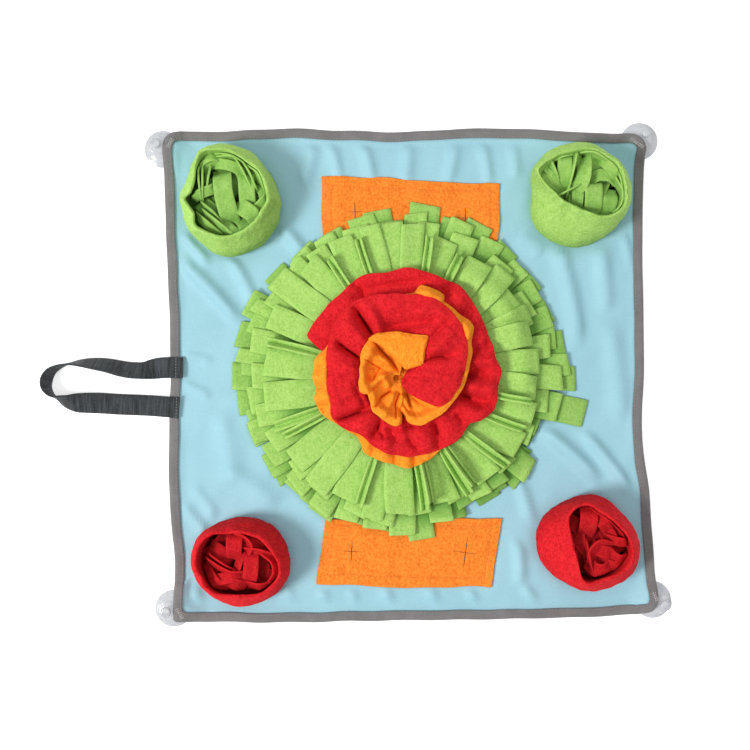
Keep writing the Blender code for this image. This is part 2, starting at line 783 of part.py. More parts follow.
def main():
    clear_scene()
    blue = finish("blue_cloth", (0.40, 0.68, 0.76), 0.55)
    grey = finish("grey_tape", (0.22, 0.21, 0.21), 0.80)
    black = finish("black_webbing", (0.03, 0.035, 0.04), 0.65)
    orange = finish("orange_fleece", (1.00, 0.30, 0.03), 0.95)
    green = finish("green_fleece", (0.40, 0.75, 0.16), 0.95)
    red = finish("red_fleece", (0.75, 0.01, 0.03), 0.95)
    clear = finish("clear_vinyl", (0.85, 0.87, 0.88), 0.15)

    edge = outline()
    panel(edge, blue)
    binding(edge, grey)
    handle(black)
    for name, made in PATCHES.items():
        patch(name, made["corners"], made["slits"], orange)
    for tier in TIERS.records():
        fringe_tier(tier, green)
    ribbon("rosette_orange", ORANGE, orange, outer=True)
    ribbon("rosette_red", RED, red, outer=False)
    for seed, (name, pot) in enumerate(POTS.items()):
        cloth = green if "top" in name else red
        pot_tube(name, pot, cloth)
        filling(name.replace("pot", "filling"), pot, seed, cloth)
    for name, cup in SUCTION_CUPS.items():
        suction_cup(name, cup["place"], cup["lean"], clear)


if __name__ == "__main__":
    main()
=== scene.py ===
"""Snuffle mat for a dog: the finish of every cloth piece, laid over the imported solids."""

import math

import bmesh
import bpy
import numpy as np
from bpy.props import FloatProperty, FloatVectorProperty, IntProperty, PointerProperty
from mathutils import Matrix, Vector


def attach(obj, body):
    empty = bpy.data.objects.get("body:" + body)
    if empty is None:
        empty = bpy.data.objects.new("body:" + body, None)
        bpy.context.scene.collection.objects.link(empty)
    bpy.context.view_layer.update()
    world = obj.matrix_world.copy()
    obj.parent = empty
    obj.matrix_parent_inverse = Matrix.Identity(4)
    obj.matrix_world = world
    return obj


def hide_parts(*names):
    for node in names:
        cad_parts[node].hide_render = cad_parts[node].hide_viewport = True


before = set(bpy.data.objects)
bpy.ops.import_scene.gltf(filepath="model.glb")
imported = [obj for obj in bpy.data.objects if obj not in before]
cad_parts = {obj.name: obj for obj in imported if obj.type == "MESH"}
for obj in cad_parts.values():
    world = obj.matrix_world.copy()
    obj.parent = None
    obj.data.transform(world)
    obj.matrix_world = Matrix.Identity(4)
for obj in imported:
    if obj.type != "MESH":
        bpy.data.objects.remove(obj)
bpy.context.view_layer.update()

bl_info = {
    "name": "Snuffle mat",
    "version": (1, 0, 0),
    "blender": (4, 5, 0),
    "location": "3D View > Sidebar > Snuffle mat",
    "description": "Builds a cloth snuffle mat with its fringe, rosette, pots, patches and suction cups",
    "category": "Add Mesh",
}

MM = 0.001


# ---- tables, in millimetres and degrees


class Table:
    """Rows with named columns. The first column rises, and the others are read smoothly between its rows."""

    def __init__(self, names, *rows):
        self.names = names.split()
        self.rows = np.array(rows, float)

    def at(self, name, key, crisp=False):
        """The column at these places, eased between rows. Crisp rows are never overshot."""
        keys, values = self.rows[:, 0], self.rows[:, self.names.index(name)]
        slopes = np.gradient(values, keys)
        if crisp:
            rise = np.diff(values) / np.diff(keys)
            before, after = np.append(rise[0], rise), np.append(rise, rise[-1])
            slopes = np.where(before * after > 0.0, 2.0 * before * after / (before + after + 1e-12), 0.0)
        key = np.asarray(key, float)
        i = np.clip(np.searchsorted(keys, key, side="right") - 1, 0, len(keys) - 2)
        span = keys[i + 1] - keys[i]
        t = np.clip((key - keys[i]) / span, 0.0, 1.0)
        bend = (1 - t) * slopes[i] * span - t * slopes[i + 1] * span
        return values[i] + (values[i + 1] - values[i]) * t * t * (3 - 2 * t) + bend * t * (1 - t)

    def optional(self, name, key):
        """A column at these places, or 0 if the table has no such column."""
        return self.at(name, key) if name in self.names else 0.0

    def records(self):
        return [dict(zip(self.names, map(float, row))) for row in self.rows]


# Corners of the mat with the size of their rounding, and how far each side bulges out between them
CORNERS = {
    "top_left": dict(place=(-230.2, 225.8), round=20.0),
    "top_right": dict(place=(219.3, 222.1), round=18.0),
    "bottom_right": dict(place=(231.9, -223.2), round=20.0),
    "bottom_left": dict(place=(-219.9, -231.2), round=5.0),
}
SIDES = Table(
    "along top right bottom left",
    (0, 0, 0, 0, 0), (0.125, 0.3, -3.1, 2.6, -1.8), (0.25, 3.4, -5.3, 3.5, 1.7), (0.375, 2.1, -6, 3.5, 1),
    (0.5, 1.3, -7.1, 3, -1.9), (0.625, 4.6, -10.5, 3, -2.1), (0.75, 5, -5.3, 3.1, -0.9),
    (0.875, 2.2, -2.8, 1.9, -0.4), (1, 0, 0, 0, 0),
)

# Necks of the suction cups, which lift the corners
SUCTION_CUPS = {
    "suction_cup_top_left": dict(place=(-230.7, 209.5), lean=(-4.5, 3.0)),
    "suction_cup_top_right": dict(place=(214.5, 216.9), lean=(4.0, 5.5)),
    "suction_cup_bottom_right": dict(place=(227.0, -211.5), lean=(8.8, -2.5)),
    "suction_cup_bottom_left": dict(place=(-220.5, -219.6), lean=(-5.2, -1.0)),
}
# How high a corner is lifted, how far round the neck it stays so, and how far out it takes to come down
CORNER_LIFT = 7.0
LIFT_FLAT = 12.0
LIFT_REACH = 24.0

# Soft ridges pressed into the blue cloth, each from one point to another
CREASES = Table(
    "x0 y0 x1 y1 half_width height",
    (-212.9, 104.2, -162.4, 51.8, 10, 5.1), (-166.1, 106, -145.4, 66.7, 8, 4.2), (-212, 129, -189.5, 104.2, 7, 3.3),
    (-117.5, 134.3, -99.5, 112.4, 10, 4.5), (-212, 17.2, -186.6, 11.5, 5, 2.1), (-212, -9.9, -188.5, -20.3, 5, 2.5),
    (-212.9, -123.1, -189.5, -149.4, 6.5, 3.4), (-200.5, -108.1, -182.5, -131.4, 7, 2.2),
    (-168, -92.4, -128, -120.4, 14, 3.6), (-176, -40, -166, -96, 16, 2.7), (-90, 214, -98, 180, 9, 3),
    (-74.5, 215.7, -66, 182.6, 7.5, 3), (-44.5, 215.5, -35.2, 180.8, 8.5, 3.3), (-1.5, 216.5, -4.3, 180.8, 10, 3.4),
    (42.5, 217.5, 35.9, 180.8, 8.5, 3), (66.5, 217.5, 74.1, 179, 7.5, 2.8), (95, 217.5, 99, 185, 8, 2.4),
    (138.7, 116.6, 156.7, 33.9, 10.5, 4.8), (178.1, 115.4, 182.9, 62.7, 12, 3.6), (199.5, 127.8, 208, 102.2, 6, 3),
    (104, 128, 122, 112, 9, 2.7), (186, 44, 196, -38, 15, 2.8), (126.7, -54.8, 172.6, -96.1, 10.5, 5.4),
    (164.8, -58.3, 201.5, -104.4, 8.5, 4.2), (101.4, -99.7, 111.8, -134.5, 8.5, 3.6),
    (100.6, -158.5, 103.4, -195.3, 8.5, 3), (-82, -203.5, -75.3, -220.5, 6.5, 2.7),
    (-53.9, -203.8, -51, -220.5, 6.5, 2.7), (-23, -203, -15.5, -220.5, 7.5, 3), (19, -203, 26.7, -220.5, 7.5, 3),
    (56.5, -203.8, 63, -220.5, 6.5, 2.7), (108, -199.6, 118.3, -219.5, 7.5, 2.8),
    (-200.8, -200.8, -192.3, -218.6, 5.5, 2.8), (-118, -196, -108, -219, 8, 2.4),
)

TAPE_WIDTH = 10.0
PANEL_TOP = 1.6
HALF_SIDE = 225.0
# Rings of points across the blue cloth, by how far in from the outline they lie
PANEL_RINGS = (1.9, 5.5, 9.0, *np.arange(11.0, 60.0, 2.6), *np.arange(60.0, 128.0, 4.2),
               140.0, 160.0, 185.0, 205.0, 218.0, 224.0)
PANEL_HOLE = 3.0

# Folded tape in section: how far in from the outline, and how high
TAPE_SECTION = (
    (9.1, 0.45), (8.7, 0.10), (6.6, 0), (4, 0), (1.6, 0.05), (0.5, 0.45), (0, 1.5), (0, 3),
    (0.45, 4.15), (1.6, 4.72), (3.4, 4.92), (5.2, 4.85), (7, 4.70), (8.6, 4.60), (9.1, 4.30), (8.8, 3.85),
    (6.6, 3.80), (3, 3.75), (1.3, 3.1), (1.3, 1.6), (3, 0.95), (6.6, 0.90), (8.8, 0.85),
)
STITCH_INSET = 7.6
TAPE_SEAM_TOP = 4.68
TACK_TOP = 4.95

# Little bars of white thread that hold the suction cups' ties, from one end to the other
BAR_TACKS = (
    ((-220.2, 216.6), (-223.6, 209.6)),
    ((204.3, 216.8), (215.5, 209.4)),
    ((225.3, -203.2), (228.4, -209.8)),
    ((-215.5, -218.2), (-210.8, -226.2)),
)

PATCHES = {
    "patch_top": dict(
        corners=((-81.5, 183), (83.5, 176.5), (82.2, 123.9), (-80.6, 128.5)),
        slits=((-51, 150.4, 1, 22, 20), (51.6, 144.5, -2, 22, 20)),
        stitch=(0.048, 0.955, 0.15, 0.9),
    ),
    "patch_bottom": dict(
        corners=((-78.2, -135.9), (85, -136), (75.6, -199.3), (-85.9, -196.5)),
        slits=((-54.2, -165.9, -3, 21, 22.5), (51.9, -166.9, -8, 31, 26)),
        stitch=(0.050, 0.955, 0.10, 0.86),
    ),
}
PATCH_SIZE = (165.0, 60.0)
PATCH_GAP = 0.35
PATCH_THICK = 2.2
SLIT_WIDTH = 0.9

FRINGE_CENTRE = (-2.0, 0.5)
# Half the width of the ground that the fringe may cover, and where its strips bend over the row below
FRINGE_ROOM = 186.0
SHOULDER = 106.0
# Where the strips of each row begin: how far from the middle, and how high
ROOTS = {1: (85.0, 2.2), 2: (78.0, 6.8), 3: (71.0, 11.4), 4: (64.0, 16.0)}
# How far along its strips each row is covered by the row above, fully and at all, and how dark the shade painted there
# is
COVERED = {1: (48.0, 66.0, 0.8), 2: (46.0, 64.0, 0.8), 3: (38.0, 60.0, 0.8), 4: (4.0, 16.0, 0.5)}
# Fringe strips by row, lowest first: middle of the tip, its reach, its width, how far round the root lies, and
# how high the strip arches before it falls to its tip
STRIP_COLUMNS = "azimuth reach width swing arch"
STRIPS = {
    1: Table(
        STRIP_COLUMNS,
        (358, 156, 23, 0, 0), (11, 148, 24, 1, 0), (24, 144, 22, -1, 0), (37, 146, 24, 0, 0), (51, 149, 23, 1, 0),
        (64, 154, 24, -1, 0), (73, 149, 21, 0, 0), (84, 157, 27, 0, 0), (101, 153, 25, 1, 0), (119, 149, 22, -1, 0),
        (131, 151, 24, 1, 0), (143, 156, 24, 0, 0), (156, 162, 26, 2, 0), (167, 162, 24, -1, 0), (181, 163, 25, 1, 0),
        (190, 160, 24, -1, 0), (202, 157, 22, 0, 0), (214, 157, 24, 1, 0), (226, 152, 24, 0, 0),
        (238, 155, 23, -1, 0), (249, 147, 24, 1, 0), (259, 147, 25, -1, 0), (275, 155, 23, 0, 0),
        (288, 142, 22, 2, 0), (303, 141, 22, -1, 0), (317, 144, 24, -2, 0), (333, 131, 21, 1, 0),
        (347, 169, 25, -3, 0), (219.5, 157, 13, 1, 0), (231.5, 153, 13, 0, 0), (195.5, 154, 12, 0, 0),
        (309, 139, 12, 0, 0), (325, 136, 12, -1, 0),
    ),
    2: Table(
        STRIP_COLUMNS,
        (3, 150, 21, 0, 0), (14, 141, 22, 1, 1), (22, 142, 20, -1, 1), (33, 142, 22, 0, 1), (43, 144, 20, 1, 0),
        (57, 146, 22, -1, 0), (70, 149, 22, 1, 0), (87, 148, 20, 0, 1), (107, 151, 25, -1, 0), (122, 148, 20, 1, 0),
        (133, 149, 23, -1, 0), (144, 151, 26, 1, 0), (161, 153, 24, 2, 0), (176, 155, 24, -1, 0),
        (190, 149, 25, 1, 0), (201, 156, 21, 0, 0), (211, 151, 23, -1, 0), (225, 149, 25, 1, 0), (237, 152, 22, 0, 0),
        (247, 148, 22, -2, 0), (258, 147, 22, 1, 0), (268, 150, 23, 0, 0), (283, 141, 21, -1, 0),
        (295, 134, 21, 1, 0), (308, 134, 24, 0, 0), (321, 146, 22, -1, 0), (338, 130, 20, 1, 0), (347, 144, 25, 0, 0),
        (174, 159, 12, 0, 0), (156, 156, 13, 1, 0),
    ),
    3: Table(
        STRIP_COLUMNS,
        (358, 143, 22, 0, 1), (11, 134, 21, 1, 2), (30, 130, 25, -1, 2), (49, 135, 24, 1, 1), (67, 137, 25, 0, 1),
        (82, 140, 20, -1, 0), (97, 141, 23, 1, 0), (110, 143, 24, 0, 0), (127, 142, 20, -1, 0), (137, 146, 22, 0, 0),
        (150, 146, 21, 1, 0), (168, 148, 22, -1, 0), (181, 144, 22, 0, 0), (196, 145, 21, 1, 0),
        (207, 142, 22, -1, 0), (221, 139, 20, 0, 0), (233, 138, 22, 1, 0), (249, 139, 21, -1, 0),
        (260, 141, 22, 0, 0), (275, 131, 20, 0, 1), (292, 126, 21, 1, 0), (301, 133, 20, 1, 0), (317, 127, 20, -1, 0),
        (333, 128, 19, 0, 0), (349, 132, 23, 1, 1),
    ),
    4: Table(
        STRIP_COLUMNS,
        (5, 121, 23, 1, 3), (18, 118, 22, 3, 4), (26, 124, 20, 0, 2), (36, 120, 23, -3, 4), (46, 130, 21, 0, 2),
        (57, 122, 24, 1, 3), (74, 127, 22, 2, 2), (88, 137, 21, 1, 1), (97, 139, 23, -1, 1), (105, 140, 18, 0, 0),
        (117, 139, 22, 1, 1), (132.5, 136, 22, -1, 1), (144, 149, 24, -1, 0), (157.5, 137, 23, 3, 1),
        (175.5, 132, 26, 1, 1), (189.5, 134, 26, 3, 1), (218, 133, 25, -3, 0), (231, 136, 24, -1, 0),
        (243, 130, 24, -3, 1), (256, 138, 20, -1, 0), (267, 130, 26, -4, 1), (287, 124, 25, -4, 0),
        (308, 122, 25, -4, 0), (327, 123, 26, -6, 1), (341, 122, 23, 0, 2), (353, 118, 21, -1, 3),
    ),
}
# Heights between which shade is painted into the fringe, and how much
FRINGE_PAINTED_SHADE = (2.5, 10.5, 0.4)
# Narrow strips of one row that have folded lengthwise and stand between the others
FOLDED_ROW = 4
FOLDED = Table(
    STRIP_COLUMNS + " fold",
    (66, 118, 14, 1, 1, 60), (81, 126, 14, 1, 0, 62), (110.5, 131, 13, 0, 0, 62), (124.5, 127, 13, 0, 0, 62),
    (167.5, 132, 16, 1, 0, 62), (202, 132, 16, 3, 0, 58), (207, 128, 14, -2, 0, 66), (249.5, 129, 14, -2, 0, 62),
    (277, 127, 15, -3, 0, 60), (280, 120, 13, -3, 0, 68), (297, 125, 15, -4, 0, 60), (300.5, 118, 14, -4, 0, 68),
    (317, 125, 15, -5, 0, 60), (334, 118, 14, -3, 0, 62), (347, 116, 12, -1, 1, 64),
)

ROSETTE_CENTRE = (-10.0, -2.4)
# Degrees between two rows of points across a ribbon
TURN_STEP = 1.25
# Air between two turns, and how far out the ribbons begin to lie on the fringe
NEST_GAP = 1.1
BAND_INSIDE = 60.0
# The two ruffled ribbons, from the middle outwards: reach and height of the free edge, and how far the ribbon is
# dished between its root and that edge
ORANGE = Table(
    "angle reach height",
    (80, 37, 45), (100, 38, 45.5), (118, 41, 46), (125, 42.4, 46.5), (133, 42, 48), (141, 41, 48.5),
    (150, 39.7, 48.5), (165, 36.7, 48), (182, 36.2, 48), (191, 37.5, 47), (200, 38, 46), (206, 36.2, 45.5),
    (210, 33, 45), (217, 33.8, 45), (228, 38, 46), (239, 40, 46), (248, 40.8, 46), (258, 43.5, 46), (266, 44.5, 46),
    (270.5, 43, 44), (273, 37, 40), (275, 33, 38), (277, 35, 39), (280, 41, 42), (283, 44, 44), (288, 46.3, 45),
    (296, 48, 45), (307, 48.5, 45), (322, 51.2, 44), (336, 53, 43.5), (349, 56.8, 43), (361, 59.8, 42), (371, 64, 41),
    (378, 67.7, 41), (384, 70, 41), (391, 76, 41), (394, 79, 41), (398, 79.5, 40), (409, 76.6, 40), (420, 78, 41),
    (421.5, 82.4, 41), (429, 83.2, 40), (436.5, 84, 39), (440, 76, 37), (444, 74, 37), (465, 71, 37), (500, 69, 36),
    (519, 70.7, 35), (530, 78, 34), (540, 78.6, 33), (548, 76.4, 33), (556, 80, 32), (562, 79.4, 31.5),
    (576, 72.3, 31), (593, 67, 31), (600, 70.5, 31), (605, 76, 30), (613, 78.2, 30), (623, 79.4, 29), (630, 81.8, 29),
    (637, 83.5, 29), (646, 81, 28), (657, 77.5, 28), (662, 76, 28),
)
RED = Table(
    "angle reach height dish",
    (286, 7.6, 43.5, 0), (293, 11.7, 44, 0), (297, 16.3, 44.5, 0), (308, 24, 45.5, 0), (317, 36, 46.5, 0),
    (322, 44, 47, 0), (336, 49.5, 48, 0), (349, 53, 48, 0), (361, 56.3, 48, 0), (378, 63, 47.5, 0),
    (400, 71, 47.5, 0), (425, 75, 47, 0.1), (450, 73, 46, 0.15), (465, 75, 45, 0.1), (480, 78, 45, 0),
    (500, 75, 44, 0), (520, 69, 43, 0), (540, 66, 43, 0), (560, 67, 42, 0), (574, 71, 42, 0), (585, 68, 41, 0),
    (596, 63, 41, 0), (612, 68, 39, 0), (630, 72, 36, 0), (655, 75, 33, 0), (672, 78, 32, 0), (685, 76, 32, 0.1),
    (692, 84, 32, 0.1), (702, 91, 32, 0.1), (712, 89, 32, 0.1), (722, 92, 32, 0.1), (732, 88, 33, 0.2),
    (750, 89, 33, 0.1), (765, 94, 33, 0.1), (778, 98, 33, 0.1), (785, 96, 33, 0.2), (805, 98, 33, 0.3),
    (818, 94, 33, 0.3), (831, 97, 32, 0.2), (845, 92, 31, 0.1), (860, 91, 29, 0), (876, 92, 28, 0),
    (881, 77.5, 29, 0), (885, 66, 30, 0),
)
# Folds across the red turns, from one point to another
RED_CREASES = Table(
    "x0 y0 x1 y1 half_width height bow",
    (-50.6, 60.1, -35.7, 36.6, 4.2, -6, 0.05), (-65.3, 28, -46.8, 13.2, 4.2, -6, 0.05),
    (-23.4, 42, 21.6, 47, 8, -7, 0), (-64.1, -41.7, -38.3, -33.7, 3, -6, 0), (-31, -47.4, -24.4, -59.1, 3.4, -5.5, 0),
    (-13.5, -53.4, 2.5, -47.3, 3.4, -5, 0), (45.7, -0.4, 57.5, -5.4, 4.5, -7, 0),
    (48.2, -18.9, 72.8, -26.8, 4, -7, 0), (23.4, -43.6, 25.9, -68.3, 2.8, -5, 0.1),
    (-45.5, 81.9, -41.9, 69.4, 3.4, -5, 0), (-40.5, 76.8, 8.1, 84, 4, -4, 0.1),
    (10.8, 16.5, 33.3, 13.5, 2.6, -3.5, 0.1), (-56, 44, -40, 26, 6, 3, 0), (-60, 5, -45, 0, 6, 2.5, 0),
    (60, 10, 66, 30, 6, 2.5, 0), (-50, -12, -42, -30, 4.5, -3.5, 0),
)

# Where each ribbon is sewn down: how far from the middle, how high, and how far it falls away as a bowl
ORANGE_ROOT = Table(
    "angle root low bowl",
    (80, 1, 30, 1), (110, 1.2, 30, 1), (140, 2.1, 30, 1), (170, 5, 30, 1), (200, 6.5, 29, 1), (230, 7, 28, 1),
    (260, 7, 28, 1), (285, 7, 27, 1), (300, 11, 20, 0.7), (325, 17, 3.2, 0), (662, 30, 3.2, 0),
)
RED_ROOT = Table(
    "angle root low",
    (286, 6.6, 39), (303, 4.4, 38.5), (330, 3.8, 38), (355, 4.3, 37.5), (380, 6.2, 36), (393, 9.5, 30), (420, 15, 12),
    (450, 17, 3.2), (885, 36, 3.2),
)
# The loose end of the orange ribbon, which lies over the rest
ORANGE_FLAP = Table(
    "angle reach height root low",
    (29, 22.8, 46.5, 21.2, 45.5), (34, 25, 47.5, 15.2, 45), (39, 27.3, 48, 12, 44.5), (46, 32.1, 48.5, 9.2, 44),
    (51.5, 37.8, 49, 8.2, 43.5), (55.5, 43.6, 49, 8.1, 43.5), (58, 43.2, 49.5, 8.1, 43.5),
    (64, 40.6, 49.5, 8.4, 43.5), (77, 38.6, 50, 9.6, 44), (90, 38.8, 50, 11.8, 44), (100, 39.6, 50, 14.4, 44.5),
    (110, 40.8, 50, 19.8, 45), (118, 42.3, 50, 27.5, 46), (124, 43.1, 49.8, 36, 46.5), (130, 42.9, 49.3, 41.6, 47),
)
# Folds of the orange bowl, from one point to another
BOWL_FOLDS = Table(
    "x0 y0 x1 y1 half_width height bow",
    (-31.5, 26.4, -11.7, 3.9, 2.9, -10, 0), (-36.9, 17.4, -17.1, 8.4, 4.6, 5.5, 0),
    (-40.5, 12, -26.1, 3.9, 2.2, -7, -0.08), (-40, 8.4, -38.7, -6.9, 4.2, -9, 0),
    (-34.2, 4.8, -34.2, -6, 4.5, -4.5, 0), (-28.8, 3, -34.2, -7.4, 2, -5, 0), (-40.5, -15, -24.3, -1.5, 5, 6.5, 0),
    (-24.3, -1.5, -20.3, -12.3, 4, 5, 0), (-17.1, -15.9, -26.1, -20.9, 2.4, -8.5, 0),
    (-26.1, -20.9, -32, -29.9, 2.6, -8, 0), (-14.9, -18.6, -24.3, -37.5, 4.6, 5, 0),
    (-9.9, -18.6, -14.1, -27.6, 1.9, -7.5, 0), (-14.1, -27.6, -13.1, -40.7, 1.9, -7, 0),
    (-8.6, -20.9, -11.3, -42, 2.6, 5, 0), (-10.1, -32.1, -6.3, -45.6, 2.4, -11, 0),
    (-7.2, -20.4, -1.4, -33, 3.2, 4, 0), (-3.6, -18.2, -0.5, -30.3, 2.2, -7.5, 0),
    (1.8, -22.2, 18, -32.1, 3.4, -5, 0),
)
# The crumpled cloth that shows in the middle of the bowl: its middle, its half width and its height
HEART = ((-12.3, -8.0), 14.0, 24.5)

# Soft folds across the ribbons: where round the spiral, from which share of the width to which, half width in
# degrees, height (troughs are negative), and how far round its outer end lies from its inner end
ORANGE_FOLDS = Table(
    "angle start end half_width height lean",
    (392, 0.7, 1.3, 5, 4, 0), (403, 0.8, 1.3, 4, -3.5, 0), (412, 0.75, 1.3, 5, 1.5, 0), (420, 0.8, 1.4, 3, -5, 0),
    (431, 0.7, 1.3, 6, 5, 0), (441, 0.8, 1.4, 3.4, -4, 0), (526, 0.6, 1.3, 4, 2.2, 0), (533, 0.62, 1.6, 3.6, -5.2, 6),
    (541, 0.6, 1.3, 4, 2.2, 0), (548, 0.55, 1.6, 3.6, -5.6, 0), (556, 0.6, 1.3, 4, 2.2, 0),
    (563, 0.6, 1.5, 3.6, -6, -4), (570, 0.65, 1.3, 4, 2.2, 0), (578, 0.65, 1.3, 4, -2.2, 0),
    (594, 0.65, 1.3, 5, -3.1, 0), (604, 0.65, 1.3, 4, 2.2, 0), (611, 0.65, 1.3, 3.2, -2.8, 0),
    (619, 0.62, 1.3, 3.6, 1.9, 0), (627, 0.62, 1.4, 3, -6, 0), (634, 0.6, 1.3, 3.4, 2.5, 0),
    (641, 0.58, 1.4, 3, -7, 0), (648, 0.6, 1.3, 3.6, 2.2, 0),
)
RED_FOLDS = Table(
    "angle start end half_width height lean",
    (345, 0.2, 0.8, 14, 1.5, 0), (385, 0.15, 0.95, 4.6, -7, -20), (397, 0.25, 0.9, 8, 3.5, -8),
    (411, 0.45, 1, 4.6, -6, -8), (431, 0.62, 1.15, 12, 2.5, 0), (455, 0.66, 1.15, 13, 2.5, 0),
    (474, 0.25, 0.95, 6, 5, 0), (484, 0.25, 1.02, 5, -12, 0), (497, 0.25, 0.95, 8, 3.5, 0),
    (514, 0.25, 0.98, 4.4, -10.5, -6), (528, 0.3, 0.95, 9, 2.5, 0), (550, 0.3, 1, 10, 1.5, 0),
    (566, 0.3, 0.85, 7, -3, 0), (580, 0.2, 1.1, 4.2, -9.5, -14), (594, 0.3, 0.95, 7, 3.5, -6),
    (607, 0.35, 0.98, 4, -9.5, -4), (619, 0.66, 1.05, 5, 3, 0), (622, 0.42, 0.78, 7, -6, 6),
    (633, 0.3, 0.75, 6, 5, 8), (637, 0.56, 0.95, 4.4, -6, 22), (652, 0.4, 0.95, 8, 3.5, 0),
    (664, 0.35, 1.05, 4.2, -8.5, -16), (676, 0.35, 0.95, 7, 3, -8), (688, 0.62, 0.95, 3.2, -5, -14),
    (694, 0.5, 1.1, 5, 4.5, 0), (702, 0.3, 0.92, 4.2, -12, -6), (712, 0.4, 1.1, 5, 6.5, 0),
    (721, 0.3, 0.9, 4.4, -12, 4), (730, 0.5, 1.1, 4.4, 5, 0), (737, 0.55, 1.1, 3.2, -5.5, 8),
    (750, 0.5, 1.05, 8, 3, 0), (763, 0.55, 1.1, 3.8, -5, 0), (773, 0.6, 1.1, 6, 3, 0), (783, 0.6, 1.2, 3.6, -5.5, -8),
    (800, 0.78, 1.15, 12, 2.5, 0), (818, 0.74, 1.1, 7, 2, 0), (834, 0.55, 1.15, 4, -7.5, 8),
    (846, 0.55, 1.05, 7, 3, 0), (868, 0.6, 1, 7, 1, 0),
)

# Pots: the base, then round the rim's own middle how far out the mouth's edge and the widest part lie, the height,
# how deep the stuffing lies, and dips of the rim (azimuth, half width in degrees, depth)
POTS = {
    "pot_top_left": dict(
        place=(-164.5, 157.5), base=(44, 46), rim=(-162, 155), height=46, sunk=3.5,
        mouth=Table(
            "azimuth inner outer",
            (0, 32.5, 43), (30, 33.5, 42), (45, 36, 43.5), (60, 36, 47.5), (90, 42, 54.3), (108, 46, 57),
            (120, 48.5, 57), (135, 42, 52.5), (150, 36, 48.5), (162, 35, 48.5), (170, 36.5, 50), (176, 41, 49.5),
            (184, 38, 47.7), (200, 34, 47.7), (215, 37.5, 46.5), (230, 35, 46), (250, 33, 48), (265, 31.5, 47.5),
            (290, 29, 44.5), (320, 28.3, 43.5), (340, 28.7, 43), (360, 32.5, 43),
        ),
        dips=((176, 7, 7), (100, 26, -2), (262, 30, 2.5)),
    ),
    "pot_top_right": dict(
        place=(154.5, 158.5), base=(40, 41), rim=(151.7, 160.5), height=53, sunk=3.5,
        mouth=Table(
            "azimuth inner outer",
            (0, 37.5, 50), (15, 38, 51), (30, 39.5, 50.7), (45, 39.5, 49.2), (60, 38.5, 50.2), (75, 38.8, 51.4),
            (90, 37.7, 51), (105, 37, 49.6), (120, 38.3, 49.5), (135, 40, 48.4), (146, 42.2, 48), (154, 43, 46),
            (162, 37, 43), (172, 28.5, 41), (182, 23.3, 40.6), (195, 19.3, 42.2), (210, 16.3, 44.3),
            (230, 13.8, 44.4), (255, 13.5, 43.2), (270, 15, 43.3), (285, 17.5, 42.4), (300, 22, 42.7),
            (315, 28.7, 44), (330, 34.6, 45.7), (345, 38, 48.2), (360, 37.5, 50),
        ),
        dips=((152, 9, -2.5), (60, 40, 3), (235, 34, 2)),
    ),
    "pot_bottom_left": dict(
        place=(-154.5, -172), base=(41, 38), rim=(-153.4, -169.9), height=42, sunk=5.5,
        mouth=Table(
            "azimuth inner outer",
            (0, 33.5, 42.5), (20, 29, 40.3), (45, 26.7, 39), (75, 25.4, 37), (90, 26, 36.6), (105, 27, 37.3),
            (120, 29.5, 38.4), (135, 35, 41.6), (150, 38, 45), (165, 38.8, 46.8), (187, 38.5, 48), (205, 36, 47),
            (215, 36.4, 46), (230, 35, 44.8), (245, 31.3, 44.3), (267, 28.5, 44.5), (290, 30.4, 43.5),
            (305, 32.7, 43.5), (320, 33.6, 44.3), (340, 35.5, 44.5), (360, 33.5, 42.5),
        ),
        dips=((70, 30, 2), (168, 18, -2), (268, 12, -2)),
    ),
    "pot_bottom_right": dict(
        place=(160, -154), base=(41, 38), rim=(159.2, -152.3), height=50, sunk=6.5,
        mouth=Table(
            "azimuth inner outer",
            (0, 36, 50.3), (15, 32.7, 46.2), (30, 30, 43), (45, 29, 42), (60, 28.6, 42.6), (75, 29.6, 42),
            (90, 33.7, 39.8), (100, 34.4, 38.4), (112, 34, 37.4), (125, 30.5, 38), (140, 23.3, 39.3),
            (155, 18.3, 41.7), (170, 15.5, 43), (193, 14.3, 43), (215, 15.4, 43.3), (230, 17.4, 43.1),
            (243, 22, 43.2), (254, 29, 44.2), (265, 33.5, 46.1), (280, 32.3, 47.7), (295, 32, 48.8),
            (310, 34.3, 51.1), (325, 36.8, 53.5), (345, 38, 52.4), (360, 36, 50.3),
        ),
        dips=((98, 9, 3), (185, 36, 2.5), (300, 40, -2)),
    ),
}

# Wall of a pot, up the outside, over the folded rim and down the inside: share of the height, how far it keeps to
# the base and to the mouth (the rest is the widest part), and millimetres further out
POT_WALL = Table(
    "row up base mouth out",
    (0, 0, 1, 0, 0), (1, 0.08, 0.55, 0, 0), (2, 0.2, 0.12, 0, 0.2), (3, 0.34, 0, 0, 0), (4, 0.5, 0, 0.1, 0.4),
    (5, 0.64, 0, 0.32, 1.4), (6, 0.77, 0, 0.6, 2.4), (7, 0.875, 0, 0.84, 3.3), (8, 0.95, 0, 0.97, 3.4),
    (9, 0.985, 0, 1, 2.6), (10, 1, 0, 1, 1.5), (11, 0.985, 0, 1, 0.4), (12, 0.94, 0, 1, -0.1),
    (13, 0.8, 0.35, 0.65, -1.3), (14, 0.62, 0.7, 0.3, -2.6), (15, 0.35, 1, 0, -4), (16, 0.04, 1, 0, -5),
)

